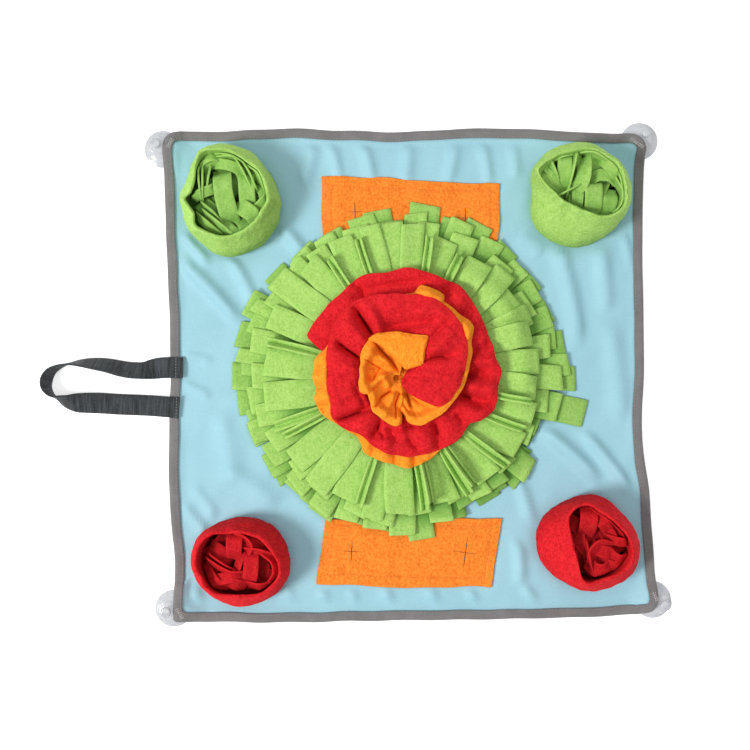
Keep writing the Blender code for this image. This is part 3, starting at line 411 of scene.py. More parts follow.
# Strips stuffed into each pot, from the middle of its rim: width, tilt at each end, then points along the strip,
# with heights below the rim
FILLINGS = {
    "filling_top_left": (
        (16.5, 8, -6, (-9, 27, -12), (-8, 22, -5), (-6.7, 8, -3.5), (-3, -8, -5), (0, -20, -13)),
        (14, -8, 6, (13, 26, -10), (13.5, 21, -5), (14.2, 12, -3.5), (14.7, 2, -5)),
        (14, 8, 12, (8, -4, -7), (12, -7, -3), (19, -12, -4), (23, -18, -9)),
        (9, 20, -20, (-15, 34, -8), (-9, 33.5, -4), (0, 31.5, -3.5), (7, 28, -6), (10, 20, -10)),
        (12, -35, -20, (-31, 33, -12), (-25, 38, -6), (-17, 41, -4), (-11, 40, -8)),
        (9, 45, 30, (-29, 28, -10), (-23, 33, -6), (-15, 35, -6), (-11, 31, -10)),
        (9, 66, 70, (-10, 43, -6), (0, 42.5, -4), (9, 38, -6)),
        (9, 70, 66, (-9, 39, -7), (2, 38.5, -4), (8, 35, -7)),
        (10, 74, 78, (5, 35, -6), (10, 27, -4), (15, 17, -6)),
        (10, 76, 70, (11, 33, -6), (16, 25, -4), (20, 15, -7)),
        (11, 60, 66, (17, 32, -6), (23, 23, -4), (28, 14, -7)),
        (10, 80, 76, (-30, 28, -7), (-29, 18, -4), (-28.5, 9, -8)),
        (10, 78, 80, (-26, 27, -7), (-25.5, 18, -4), (-26, 9, -8)),
        (10, 55, 66, (-21, 27, -7), (-22, 20, -5), (-23.5, 12, -9)),
        (9, 30, 20, (-32, 5, -9), (-25, 8, -5), (-17, 11, -6), (-14, 14, -10)),
        (14, 0, 14, (-27, -1, -14), (-20, -7, -12), (-12, -14, -14)),
        (9, 66, 55, (-24, -5, -9), (-18, -10, -7), (-12, -17, -9)),
        (9, 50, 44, (-29, -15, -9), (-22, -21, -5), (-15, -27, -9)),
        (10, 62, 56, (-23, -12, -8), (-13, -20, -5), (-3, -28, -9)),
        (8, -50, 20, (-5, -20, -9), (0, -25, -6), (5, -28, -9)),
        (11, -14, 6, (23, 14, -11), (29, 10, -7), (31, 2, -9)),
        (9, 34, 30, (23, -6, -7), (29, -1, -4), (34, 6, -7)),
        (14, -8, -20, (8, -15, -13), (13, -21, -10), (12, -29, -14)),
    ),
    "filling_top_right": (
        (15, 0, 0, (11, 10, -12), (11, 7.5, -4), (11, 0, -3), (11.2, -8, -5), (11, -15, -11)),
        (13, 55, -6, (4, 31, -8), (3, 22, -3), (1, 12, -2.5), (-3, 5, -6), (-7, 1, -12)),
        (12, 4, 8, (-14, 34, -12), (-14.5, 31, -4), (-15, 20, -3), (-14.5, 10, -7), (-13, 2, -15)),
        (12, 74, 70, (-6, 33, -5), (-9, 21, -3), (-12, 6, -10)),
        (12.5, -10, 8, (-36, 20, -9), (-32, 17, -4), (-26, 9, -5), (-18, -1, -12)),
        (10, 84, 80, (-20, -2, -8), (-12, 2, -5), (-4, 6, -6)),
        (10, 8, 20, (-1, 7, -11), (-2, 2, -7), (-2.5, -5, -8), (-2, -13, -14)),
        (11, 70, 64, (4, 38, -5), (12, 35, -3), (21, 30, -6)),
        (15, -30, -16, (16, 33, -10), (14, 27, -7), (11, 19, -10)),
        (9, 24, 14, (18, 31, -8), (23, 26, -3), (29, 19, -3), (34, 14, -8)),
        (10, 10, -14, (10, 14, -10), (17, 17, -6), (25, 16, -5), (32, 12, -9)),
        (10, 80, 82, (32, 10, -6), (36.5, 0, -4), (34, -12, -7)),
        (10, 70, 74, (36, 14, -6), (40, 3, -5), (37, -9, -8)),
        (13, -14, 4, (26, 2, -10), (26.5, -4, -6), (25, -12, -9), (23, -17, -14)),
        (9, 60, 66, (-28, 28, -6), (-25, 20, -4), (-21, 11, -10)),
        (9, -20, -50, (-33, 26, -7), (-30, 22, -5), (-26, 20, -8)),
        (10, -55, -50, (-2, 38, -6), (-3, 29, -6), (-5, 20, -13)),
        (9, 40, 50, (-24, 33, -8), (-18, 36, -5), (-10, 37, -7)),
        (10, 20, 10, (16, -16, -13), (24, -17, -11), (31, -14, -13)),
    ),
    "filling_bottom_left": (
        (14, 10, 0, (-5, 24, -7), (-6, 20, -2.5), (-6.5, 12, -2.5), (-7, 4, -7)),
        (9, 62, 50, (-4, 23, -5), (4, 20, -2.5), (8, 14, -3), (4, 6, -8)),
        (13, -4, 6, (9, 8, -9), (9, 3, -3.5), (9, -6, -2.5), (8, -14, -3.5), (6, -21, -10)),
        (9, 48, 40, (-1, 3, -6), (-2.5, -3, -4), (-5, -9, -7)),
        (9, 60, 56, (-27, -2, -6), (-18, -7, -3), (-8, -11, -3), (2, -11, -6)),
        (8, 66, 60, (-25, 2, -6), (-17, -3, -3.5), (-11, -7, -6)),
        (10, -14, -6, (-24, -18, -8), (-17, -16, -4), (-8, -14, -3), (1, -14, -7)),
        (15, 10, -8, (-27, 10, -12), (-21, 7, -8), (-13, 0, -9)),
        (11, 20, 26, (-29, -13, -9), (-23, -20, -5), (-15, -25, -9)),
        (11, 16, 20, (-13, -18, -8), (-6, -21, -4.5), (1, -23, -8)),
        (8, 44, 36, (8, -22, -7), (16, -23, -3.5), (24, -22, -7)),
        (10, -56, -40, (22, 6, -6), (30, 0, -3), (32, -9, -3.5), (27, -19, -8)),
        (10, 54, 46, (5, 9, -7), (15, 8.5, -3.5), (26, 5, -6)),
        (12, -10, 10, (2, 16, -8), (9, 15, -5), (15, 11, -9)),
        (12, 0, 10, (14, 0, -13), (19, -7, -12), (18, -15, -14)),
        (12, 10, -10, (-22, 22, -16), (-14, 24, -14), (-8, 20, -16)),
    ),
    "filling_bottom_right": (
        (15, 10, -6, (1, 30, -9), (1, 25, -4), (0, 15, -4.5), (-2, 5, -12)),
        (10, 18, 10, (9, 21, -7), (13, 18, -3), (17, 13, -6)),
        (10, 34, 20, (6, 27, -7), (13, 24, -4), (20, 20, -4), (26, 15, -8)),
        (11, 26, 50, (4, -16, -8), (5, -7, -5), (11, -1, -4.5), (20, -3, -8)),
        (11, 4, -8, (7, -5, -11), (13, -8, -6), (20, -10, -7), (24, -14, -11)),
        (9, 34, 26, (20, 3, -7), (28, 1, -3.5), (37, 0, -6)),
        (10, 20, 30, (21, -11, -8), (27, -15, -4.5), (33, -15, -8)),
        (12, -10, 14, (2, -20, -9), (8, -25, -4), (15, -25, -4), (21, -20, -8)),
        (10, 60, 66, (-2, -4, -9), (0, -16, -7), (3, -29, -10)),
        (10, 10, 0, (-13, 4, -14), (-7, 0, -11), (0, -2, -12)),
        (10, 34, 20, (16, 13, -10), (21, 7, -7), (23, 0, -9)),
        (11, 14, 20, (17, -20, -9), (25, -22, -6), (33, -17, -9)),
        (10, 40, 30, (26, 13, -8), (32, 9, -5), (37, 3, -8)),
    ),
}
# Strips at random places below those: how deep, and how many
DEPTHS = ((-12.0, 9), (-19.0, 9), (-26.0, 9))
STUFFING_THICK = 1.7
# Heights about the top of the heap between which shade is painted into the stuffing, and how much
STUFFING_PAINTED_SHADE = (-18.0, 4.0, 0.9)
# Width of the cloth that the strips are cut from, in metres, and their own mean width
STUFFING_WIDTH = 0.06
MEAN_STRIP = 12.0
# The crumpled round under them all: how much smaller than the pot's base, and its height over the cloth
WAD_INSET = 4.5
WAD_HEIGHT = 11.0

# The webbing's middle line, flat on the floor, and how far it stands on edge
WEB_PATH = Table(
    "along x y turn",
    (0, -211, 5.2, 0), (11, -221.5, 5.4, 0), (22, -232.8, 5, 4), (30, -240.8, 3.9, 20), (37, -247.7, 2.8, 36),
    (47, -258.2, 3, 41), (57, -267.6, 4.4, 44), (70, -280.5, 7.4, 51), (81, -290.9, 8.9, 57), (91, -301.1, 9.8, 67),
    (99, -309.5, 9.8, 77), (107, -317.5, 8.8, 87), (116, -325.6, 6.3, 95), (125, -333.1, 1.3, 103),
    (134, -336.9, -6.4, 107), (142, -336.4, -14, 100), (147, -333.6, -18.6, 93), (152, -330, -21.6, 86),
    (159, -323.8, -24.6, 64), (165, -317.6, -26.6, 47), (172, -310.9, -27.4, 27), (182, -300.9, -27.5, 14),
    (194, -288.2, -27.8, 4), (209, -273.9, -28.7, 0), (237, -245.2, -29.9, 0), (252, -230.9, -30.7, 0),
    (268, -214.6, -32, 0),
)
ON_TAPE = 5.2
WEB_CLIMB_FROM = -241.0
WEB_CLIMB = 13.0
# Half round the webbing's section, as shares of its width and thickness, and where its two seams start
WEB_SIDE = ((-0.5, -0.25), (-0.485, -0.5), (-0.25, -0.5), (0.0, -0.5), (0.25, -0.5), (0.485, -0.5), (0.5, -0.25))
WEB_SEAMS = ((-217.6, 5.5), (-217.2, -31.8))
WEB_SEAM_LENGTH = 16.6

# Turned half section of a suction cup, from the middle of its hollow underside to the top of its knob
CUP_SECTION = (
    (0, 2.6), (4, 2.5), (9, 2), (13, 1), (15.6, 0.15), (16.2, 0), (17.2, 0), (17.5, 0.35),
    (17.2, 0.85), (15.6, 1.25), (13.4, 2.2), (12.9, 2.75), (12.2, 2.85), (10.2, 3.7), (8.4, 4.6), (8.1, 5.9),
    (7.6, 6.35), (4.2, 6.5), (3.3, 6.9), (2.9, 8.5), (2.9, 10.8), (3.2, 11.9), (4.5, 12.5), (4.95, 13.2),
    (4.95, 14.9), (4.4, 16.1), (3, 16.6), (0, 16.6),
)
# The first of its points that leans with the neck is the one after these
CUP_RIM_POINTS = 8

# Distance between stitches, length and thickness of the thread
TACK_STITCH = (1.6, 1.5, 0.5)
PATCH_STITCH = (3.1, 2.2, 0.5)
WEB_STITCH = (2.6, 2.0, 0.6)


# ---- numbers


def smooth(t):
    t = np.clip(t, 0.0, 1.0)
    return t * t * (3.0 - 2.0 * t)


def lerp(a, b, t):
    return a + (b - a) * t


def unit(v):
    return v / np.maximum(np.linalg.norm(v, axis=-1, keepdims=True), 1e-9)


def run_of(points):
    """Distance along a line of points, from its start to each of them."""
    return np.concatenate([[0], np.cumsum(np.linalg.norm(np.diff(points, axis=0), axis=1))])


def ripple(x, y, size, seed):
    """Soft uneven waves of about this size, from -1 to 1."""
    out = np.zeros(np.broadcast(x, y).shape)
    spin = np.random.default_rng(seed)
    for _ in range(6):
        turn, phase = spin.uniform(0, math.tau, 2)
        stretch = spin.uniform(0.7, 1.5)
        out = out + np.sin((x * math.cos(turn) + y * math.sin(turn)) * math.tau / (size * stretch) + phase)
    return out / 3.5


# ---- meshes


def shown(name, data):
    """A new object in the scene."""
    made = bpy.data.objects.new(name, data)
    bpy.context.scene.collection.objects.link(made)
    return made


def face_outwards(mesh, change=None):
    """Turn a mesh's faces outwards, after this change to it."""
    work = bmesh.new()
    work.from_mesh(mesh)
    if change:
        change(work)
    bmesh.ops.recalc_face_normals(work, faces=work.faces)
    work.to_mesh(mesh)
    work.free()


def plain_mesh(name, points, faces, uv, edge=None):
    """A smooth mesh object at the origin, from points in millimetres."""
    mesh = bpy.data.meshes.new(name)
    mesh.from_pydata((np.asarray(points, float) * MM).tolist(), [], [tuple(map(int, f)) for f in faces])
    if edge is not None:
        mesh.attributes.new("edge", "FLOAT", "POINT").data.foreach_set("value", np.asarray(edge, np.float32))
    layer = mesh.uv_layers.new(name="UVMap")
    corner = np.zeros(len(mesh.loops), np.int32)
    mesh.loops.foreach_get("vertex_index", corner)
    layer.data.foreach_set("uv", np.asarray(uv, np.float32)[corner].ravel())
    face_outwards(mesh)
    mesh.shade_smooth()
    return shown(name, mesh)


def flat_uv(along, across):
    """Places on the flat cloth for a grid of points, in metres."""
    return np.stack(np.meshgrid(along, across, indexing="ij"), -1).reshape(-1, 2) * MM


def grid_normals(grid, round_u=False):
    """Normals of a grid of points, by the differences of its neighbours."""
    along = np.roll(grid, -1, 0) - np.roll(grid, 1, 0) if round_u else np.gradient(grid, axis=0)
    return unit(np.cross(along, np.gradient(grid, axis=1)))


class Cloth:
    """Builds closed cloth sheets from grids of points, several in one mesh."""

    BULGE = 0.3

    def __init__(self):
        self.points, self.faces, self.edge, self.uv, self.count = [], [], [], [], 0

    def add(self, grid, thick, round_u=False):
        """A sheet of this thickness about a grid of points, with softly rounded edges."""
        grid = np.asarray(grid, float)
        normals = grid_normals(grid, round_u)
        rows, columns = grid.shape[:2]
        ring = self.border(rows, columns, round_u)
        i, j = np.array(ring).T
        inner = grid[i if round_u else np.clip(i, 1, rows - 2), np.clip(j, 1, columns - 2)]
        mid = grid[i, j] + self.BULGE * thick * unit(grid[i, j] - inner)
        edge = np.zeros((rows, columns))
        edge[i, j] = 1.0
        uv = flat_uv(run_of(grid[:, columns // 2]), run_of(grid[rows // 2]))
        self.points += [(grid + side * thick * normals).reshape(-1, 3) for side in (0.5, -0.5)] + [mid]
        self.edge += [edge.ravel(), edge.ravel(), np.ones(len(mid))]
        self.uv += [uv, uv, uv[i * columns + j]]
        start, size = self.count, rows * columns
        for side in (0, 1):
            base = start + side * size
            for row in range(rows if round_u else rows - 1):
                a, b = base + row * columns, base + (row + 1) % rows * columns
                for k in range(columns - 1):
                    quad = (a + k, a + k + 1, b + k + 1, b + k)
                    self.faces.append(quad if side else quad[::-1])
        rim = start + 2 * size
        for loop in np.split(np.arange(len(ring)), 2 if round_u else 1):
            for p, q in zip(loop, np.roll(loop, -1)):
                up, uq = (start + i[k] * columns + j[k] for k in (p, q))
                self.faces += [(up, uq, rim + q, rim + p), (rim + p, rim + q, uq + size, up + size)]
        self.count += 2 * size + len(mid)

    @staticmethod
    def border(rows, columns, round_u):
        if round_u:
            return [(i, 0) for i in range(rows)] + [(i, columns - 1) for i in range(rows)]
        return (
            [(0, j) for j in range(columns)]
            + [(i, columns - 1) for i in range(1, rows)]
            + [(rows - 1, j) for j in range(columns - 2, -1, -1)]
            + [(i, 0) for i in range(rows - 2, 0, -1)]
        )

    def object(self, name):
        points, edge, uv = (np.concatenate(part) for part in (self.points, self.edge, self.uv))
        return plain_mesh(name, points, self.faces, uv, edge)


def swept(name, sections, ring=False):
    """A closed skin over equal loops of points, joined end to start as a ring or closed with flat ends."""
    sections = np.asarray(sections, float)
    rows, count = sections.shape[:2]
    faces = []
    for i in range(rows if ring else rows - 1):
        near, far = i * count, (i + 1) % rows * count
        for j in range(count):
            k = (j + 1) % count
            faces.append((near + j, near + k, far + k, far + j))
    if not ring:
        faces += [tuple(range(count)), tuple(range((rows - 1) * count, rows * count))]
    return plain_mesh(name, sections.reshape(-1, 3), faces, flat_uv(run_of(sections.mean(1)), run_of(sections[0])))


def soften(made):
    """One level of subdivision, made part of the mesh."""
    modifier = made.modifiers.new("soften", "SUBSURF")
    modifier.levels = modifier.render_levels = 1
    return bake(made)


def bake(made):
    """Turn a piece's modifiers into plain mesh."""
    graph = bpy.context.evaluated_depsgraph_get()
    ready = bpy.data.meshes.new_from_object(made.evaluated_get(graph), preserve_all_data_layers=True, depsgraph=graph)
    made.modifiers.clear()
    old, made.data = made.data, ready
    bpy.data.meshes.remove(old)
    ready.shade_smooth()
    return made


def place(made, material, slot, node=None):
    """Give a piece its finish, fix it to the mat, and let it stand for its solid."""
    made.data.materials.clear()
    made.data.materials.append(material)
    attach(made, "root")
    if node:
        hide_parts(node)


# ---- finishes


def join(tree, value, socket):
    """Link a wire to a socket, or set the socket to a plain value."""
    if isinstance(value, Wire):
        tree.links.new(value.socket, socket)
    else:
        socket.default_value = value


class Wire:
    """A socket of a shader tree that can be used in Python expressions."""

    def __init__(self, tree, socket):
        self.tree, self.socket = tree, socket

    def maths(self, operation, *values):
        node = self.tree.nodes.new("ShaderNodeMath")
        node.operation = operation
        for slot, value in zip(node.inputs, values):
            join(self.tree, value, slot)
        return Wire(self.tree, node.outputs[0])

    def __add__(self, other):
        return self.maths("ADD", self, other)

    def __radd__(self, other):
        return self.maths("ADD", other, self)

    def __sub__(self, other):
        return self.maths("SUBTRACT", self, other)

    def __rsub__(self, other):
        return self.maths("SUBTRACT", other, self)

    def __mul__(self, other):
        return self.maths("MULTIPLY", self, other)

    __rmul__ = __mul__

    def __truediv__(self, other):
        return self.maths("DIVIDE", self, other)

    def __pow__(self, other):
        return self.maths("POWER", self, other)

    def clamped(self):
        return self.maths("MINIMUM", self.maths("MAXIMUM", self, 0.0), 1.0)


class Finish:
    """One procedural material, built node by node."""

    def __init__(self, name):
        self.material = bpy.data.materials.new(name)
        self.material.use_nodes = True
        self.tree = self.material.node_tree
        self.shader = self.tree.nodes["Principled BSDF"]

    def node(self, kind, values=(), out=0, **settings):
        """A node of this type with its settings, then the values or links of its sockets."""
        made = self.tree.nodes.new(kind)
        for name, value in settings.items():
            setattr(made, name, value)
        for name, value in dict(values).items():
            join(self.tree, value, made.inputs[name])
        return Wire(self.tree, made.outputs[out])

    def set(self, **values):
        """Values or links of the surface shader, named with underscores."""
        for name, value in values.items():
            join(self.tree, value, self.shader.inputs[name.replace("_", " ")])

    def place(self):
        return self.node("ShaderNodeTexCoord", out="Object")

    def sewn_place(self):
        return self.node("ShaderNodeUVMap", uv_map="UVMap")

    def noise(self, scale, detail=2.0, rough=0.5, at=None):
        return self.node(
            "ShaderNodeTexNoise",
            {"Vector": at or self.place(), "Scale": scale, "Detail": detail, "Roughness": rough},
        )

    def stretched(self, at, x, y, z):
        return self.node("ShaderNodeMapping", {"Vector": at, "Scale": (x, y, z)})

    def bands(self, at, scale, direction):
        return self.node(
            "ShaderNodeTexWave", {"Vector": at, "Scale": scale, "Distortion": 0.0}, out="Fac",
            wave_type="BANDS", bands_direction=direction, wave_profile="SIN",
        )

    def mix(self, factor, first, second):
        return self.node("ShaderNodeMix", {0: factor, 6: first, 7: second}, out=2, data_type="RGBA")

    def bump(self, height, distance, strength):
        return self.node("ShaderNodeBump", {"Height": height, "Distance": distance, "Strength": strength})

    def attribute(self, name):
        return self.node("ShaderNodeAttribute", out="Fac", attribute_name=name)


FINISHES = {}


def tones(props, tint):
    """A cloth's colour, and its colour where it is darker."""
    return getattr(props.colours, tint), getattr(props.colours, tint + "_shade")


def fleece_of(tint, props, label=None, **shading):
    """The fleece of one colour, made once, and once more for each labelled pile of strips with painted shade in its
    hollows.
    """
    key = label or tint
    if key not in FINISHES:
        FINISHES[key] = fleece(key + "_fleece", *tones(props, tint), **shading)
    return FINISHES[key]


# How dark the painted shade makes the fleece in a deep hollow, against its shade colour
PAINTED_SHADE_TONE = (0.30, 0.48, 0.40)


def rgba(colour, gain=1.0):
    return tuple(min(1.0, c * gain) for c in colour) + (1.0,)


def fleece(name, colour, shade, sheen=0.06, hollow=None, under=None):
    """Napped fleece: a short felted pile, mottled, with a painted highlight along its cut edges.

    Shade is painted into it low in a hollow (low, high, strength) and at a strip's covered root (near, far, strength).
    """
    made = Finish(name)
    clumps = made.noise(390.0, 3.0, 0.6)
    pile = made.noise(860.0, 2.0, 0.6)
    fluff = made.noise(95.0, 3.0, 0.55)
    lie = made.noise(1.0, 3.0, 0.6, at=made.stretched(made.place(), 900.0, 260.0, 500.0))
    mottle = (0.45 * clumps + 0.25 * lie + 0.30 * pile - 0.5) * 4.4 + 0.60 + (fluff - 0.5) * 0.7
    edge = made.attribute("edge")
    base = made.mix(mottle.clamped(), rgba(shade), rgba(colour))
    # Painted highlight: the cut edges are made paler, as where they catch the light.
    base = made.mix((edge ** 2.0) * 0.28, base, rgba(colour, 1.12))
    # Painted shade: darker low in a hollow and at a strip's root where the row above covers it.
    for given, axis, at in ((hollow, "Z", made.place), (under, "X", made.sewn_place)):
        if given is not None:
            low, high, strength = given
            height = made.node("ShaderNodeSeparateXYZ", {"Vector": at()}, out=axis)
            depth = 1.0 - ((height - low * MM) / ((high - low) * MM)).clamped()
            base = made.mix(depth * strength, base, rgba([c * g for c, g in zip(shade, PAINTED_SHADE_TONE)]))
    relief = clumps * 0.5 + pile * 0.35 + lie * 0.4
    made.set(
        Base_Color=base, Roughness=0.93 + 0.05 * clumps, Normal=made.bump(relief, 0.0014, 0.6),
        Sheen_Weight=sheen, Sheen_Roughness=0.55, Sheen_Tint=rgba(colour, 1.1), Specular_IOR_Level=0.12,
    )
    return made.material


def oxford(name, colour, shade):
    """Thin plain-weave cloth with a slight sheen."""
    made = Finish(name)
    at = made.place()
    warp = made.bands(at, 420.0, "X")
    weft = made.bands(at, 420.0, "Y")
    check = warp * 0.5 + weft * 0.5
    slub = made.noise(1.0, 2.0, 0.5, at=made.stretched(at, 130.0, 900.0, 130.0))
    cloudy = made.noise(14.0, 3.0, 0.5)
    grain = made.noise(700.0, 2.0, 0.6)
    tone = 0.62 + (cloudy - 0.5) * 0.7 + (slub - 0.5) * 0.22 + (grain - 0.5) * 0.6 + (check - 0.5) * 0.16
    made.set(
        Base_Color=made.mix(tone.clamped(), rgba(shade), rgba(colour)), Roughness=0.52 + 0.14 * grain,
        Normal=made.bump(check * 0.6 + slub * 0.5 + grain * 0.4, 0.00022, 0.5),
        Sheen_Weight=0.12, Sheen_Roughness=0.4, Specular_IOR_Level=0.35,
    )
    return made.material


def tape(name, colour, shade):
    """Woven binding tape with fine ribs across it."""
    made = Finish(name)
    at = made.sewn_place()
    ribs = made.bands(at, 330.0, "X")
    cross = made.bands(at, 520.0, "Y")
    worn = made.noise(60.0, 4.0, 0.6)
    grain = made.noise(900.0, 2.0, 0.6)
    tone = 0.5 + (worn - 0.5) * 0.9 + (grain - 0.5) * 0.5 + (ribs - 0.5) * 0.25
    made.set(
        Base_Color=made.mix(tone.clamped(), rgba(shade), rgba(colour)), Roughness=0.78 + 0.1 * grain,
        Normal=made.bump(ribs * 0.6 + cross * 0.25 + grain * 0.4, 0.00035, 0.6), Sheen_Weight=0.15,
        Specular_IOR_Level=0.25,
    )
    return made.material


def webbing(name, colour, shade):
    """Ribbed polypropylene webbing, a little shiny on the ribs."""
    made = Finish(name)
    at = made.sewn_place()
    lines = made.bands(at, 380.0, "Y")
    ribs = made.noise(1.0, 1.0, 0.5, at=made.stretched(at, 560.0, 45.0, 1.0))
    grain = made.noise(900.0, 2.0, 0.6)
    dust = made.noise(70.0, 4.0, 0.6)
    tone = 0.42 + (lines - 0.5) * 0.3 + (ribs - 0.5) * 1.7 + (grain - 0.5) * 1.2 + (dust - 0.5) * 0.6
    made.set(
        Base_Color=made.mix(tone.clamped(), rgba(shade), rgba(colour)), Roughness=0.5 + 0.2 * grain,
        Normal=made.bump(lines * 0.7 + grain * 0.3, 0.0003, 0.7), Specular_IOR_Level=0.4,
    )
    return made.material


def thread(name, colour):
    """Twisted sewing thread."""
    made = Finish(name)
    twist = made.noise(2600.0, 2.0, 0.5)
    made.set(
        Base_Color=made.mix(twist, rgba(colour, 0.78), rgba(colour, 1.05)), Roughness=0.55 + 0.15 * twist,
        Normal=made.bump(twist, 0.0001, 0.5),
    )
    return made.material


def vinyl(name, colour):
    """Clear soft vinyl with faint flow marks."""
    made = Finish(name)
    marks = made.noise(160.0, 3.0, 0.5)
    dust = made.noise(900.0, 2.0, 0.6)
    made.set(
        Base_Color=made.mix((marks - 0.3).clamped(), rgba(colour), rgba(colour, 0.9)),
        Roughness=0.12 + 0.12 * dust, Alpha=0.50 + 0.16 * marks, Normal=made.bump(marks, 0.0003, 0.25),
        Specular_IOR_Level=0.6, IOR=1.5, Coat_Weight=0.3,
    )
    return made.material


# ---- Geometry Nodes: thread


def stitch_tree():
    """Grains of thread spaced evenly along a path, each lying along it."""
    tree = bpy.data.node_groups.new("Stitches", "GeometryNodeTree")
    for name, kind, flow in (
        ("Path", "Geometry", "INPUT"), ("Pitch", "Float", "INPUT"), ("Stitch", "Float", "INPUT"),
        ("Thread", "Float", "INPUT"), ("Finish", "Material", "INPUT"), ("Stitches", "Geometry", "OUTPUT"),
    ):
        tree.interface.new_socket(name, in_out=flow, socket_type="NodeSocket" + kind)

    def node(kind, values=(), **settings):
        """A node with its settings, then the values or links of its sockets. Gives its outputs."""
        made = tree.nodes.new(kind)
        for name, value in settings.items():
            setattr(made, name, value)
        for name, value in dict(values).items():
            if isinstance(value, bpy.types.NodeSocket):
                tree.links.new(value, made.inputs[name])
            else:
                made.inputs[name].default_value = value
        return made.outputs

    given = node("NodeGroupInput")
    curve = node("GeometryNodeMeshToCurve", {"Mesh": given["Path"]})
    even = node("GeometryNodeResampleCurve", {"Curve": curve["Curve"], "Length": given["Pitch"]}, mode="LENGTH")
    grain = node("GeometryNodeMeshUVSphere", {"Segments": 8, "Rings": 6, "Radius": 0.5})
    tangent = node("GeometryNodeInputTangent")
    aim = node("FunctionNodeAlignRotationToVector", {"Vector": tangent["Tangent"]}, axis="X")
    size = node("ShaderNodeCombineXYZ", {"X": given["Stitch"], "Y": given["Thread"], "Z": given["Thread"]})
    copies = node("GeometryNodeInstanceOnPoints", {
        "Points": even["Curve"], "Instance": grain["Mesh"], "Rotation": aim["Rotation"], "Scale": size["Vector"],
    })
    real = node("GeometryNodeRealizeInstances", {"Geometry": copies["Instances"]})
    finish = node("GeometryNodeSetMaterial", {"Geometry": real["Geometry"], "Material": given["Finish"]})
    node("NodeGroupOutput", {"Stitches": finish["Geometry"]})
    return tree


def stitches(name, paths, material, slot, sizes):
    """Sew along these lists of points, in millimetres, as one piece of thread."""
    points, edges = [], []
    for path in paths:
        start = len(points)
        points += (np.asarray(path, float) * MM).tolist()
        edges += [(start + k, start + k + 1) for k in range(len(path) - 1)]
    mesh = bpy.data.meshes.new(name)
    mesh.from_pydata(points, edges, [])
    made = shown(name, mesh)
    tree = bpy.data.node_groups.get("Stitches") or stitch_tree()
    modifier = made.modifiers.new("stitches", "NODES")
    modifier.node_group = tree
    values = dict(zip(("Pitch", "Stitch", "Thread"), (size * MM for size in sizes)), Finish=material)
    for item in tree.interface.items_tree:
        if item.name in values and item.in_out == "INPUT":
            modifier[item.identifier] = values[item.name]
    place(bake(made), material, slot)
    return made


# ---- mat


def outline(step=3.0):
    """The mat's outline, clockwise from the top left: uneven sides between rounded corners."""
    names = list(CORNERS)
    points = []
    for side, start, end in zip(SIDES.names[1:], names, names[1:] + names[:1]):
        a = np.array(CORNERS[start]["place"])
        b = np.array(CORNERS[end]["place"])
        length = np.linalg.norm(b - a)
        along = (b - a) / length
        outwards = np.array((-along[1], along[0]))
        near, far = CORNERS[start]["round"], length - CORNERS[end]["round"]
        for distance in np.linspace(near, far, int((far - near) / step)):
            points.append(a + along * distance + outwards * float(SIDES.at(side, distance / length)))
        before = points[-1]
        beyond = np.array(CORNERS[names[(names.index(end) + 1) % 4]]["place"])
        after = b + (beyond - b) / np.linalg.norm(beyond - b) * CORNERS[end]["round"]
        turns = max(4, int(CORNERS[end]["round"] * 1.2 / step))
        for t in np.linspace(0, 1, turns + 2)[1:-1]:
            points.append((1 - t) ** 2 * before + 2 * t * (1 - t) * b + t * t * after)
    points = np.array(points)
    run = np.arange(len(points)) * step
    wobble = 0.35 * ripple(run, 0.0 * run, 34.0, 11) * smooth(np.minimum(run, run[::-1]) / 60.0)
    return points * (1.0 + (wobble / HALF_SIDE)[:, None])


def inset_points(edge, inset):
    """Points this far inside the outline, square to it, but towards the middle near the one sharp corner."""
    way = unit(np.roll(edge, -2, 0) - np.roll(edge, 2, 0))
    square = edge + np.stack([way[:, 1], -way[:, 0]], -1) * inset
    scaled = edge * (1.0 - inset / HALF_SIDE)
    sharp = smooth(1.0 - np.linalg.norm(edge - CORNERS["bottom_left"]["place"], axis=1) / 45.0)
    return lerp(square, scaled, smooth(sharp * 2.5)[:, None])


def corner_lift(x, y):
    """Height of the mat's lowest layer over the floor: up on the suction cups at the corners."""
    lift = np.zeros(np.broadcast(x, y).shape)
    for cup in SUCTION_CUPS.values():
        neck = [cup["place"][k] + cup["lean"][k] for k in (0, 1)]
        away = np.hypot(x - neck[0], y - neck[1])
        lift = np.maximum(lift, CORNER_LIFT * (1.0 - smooth((away - LIFT_FLAT) / LIFT_REACH)))
    return lift


def tape_lift(points):
    middle = points * (1.0 - 0.5 * TAPE_WIDTH / HALF_SIDE)
    return corner_lift(middle[:, 0], middle[:, 1])


def off_pots(x, y):
    """0 under a pot, rising to 1 a little way outside it."""
    clear = np.ones(np.broadcast(x, y).shape)
    for pot in POTS.values():
        away = np.hypot((x - pot["place"][0]) / pot["base"][0], (y - pot["place"][1]) / pot["base"][1])
        clear = np.minimum(clear, smooth((away - 1.0) * 45.0 / 9.0))
    return clear


def ridges(table, x, y):
    """Height of soft ridges and troughs at these points, each running from one point to another."""
    height = np.zeros(np.broadcast(x, y).shape)
    for c in table.records():
        dx, dy = c["x1"] - c["x0"], c["y1"] - c["y0"]
        length = math.hypot(dx, dy)
        along = ((x - c["x0"]) * dx + (y - c["y0"]) * dy) / length ** 2
        across = ((y - c["y0"]) * dx - (x - c["x0"]) * dy) / length
        bow = c.get("bow", 0.10) * length * (along - along ** 2)
        taper = smooth(along * 3.0 + 0.55) * smooth((1.0 - along) * 3.0 + 0.55)
        height = height + c["height"] * taper * np.exp(-(((across - bow) / (0.62 * c["half_width"])) ** 2))
    return height


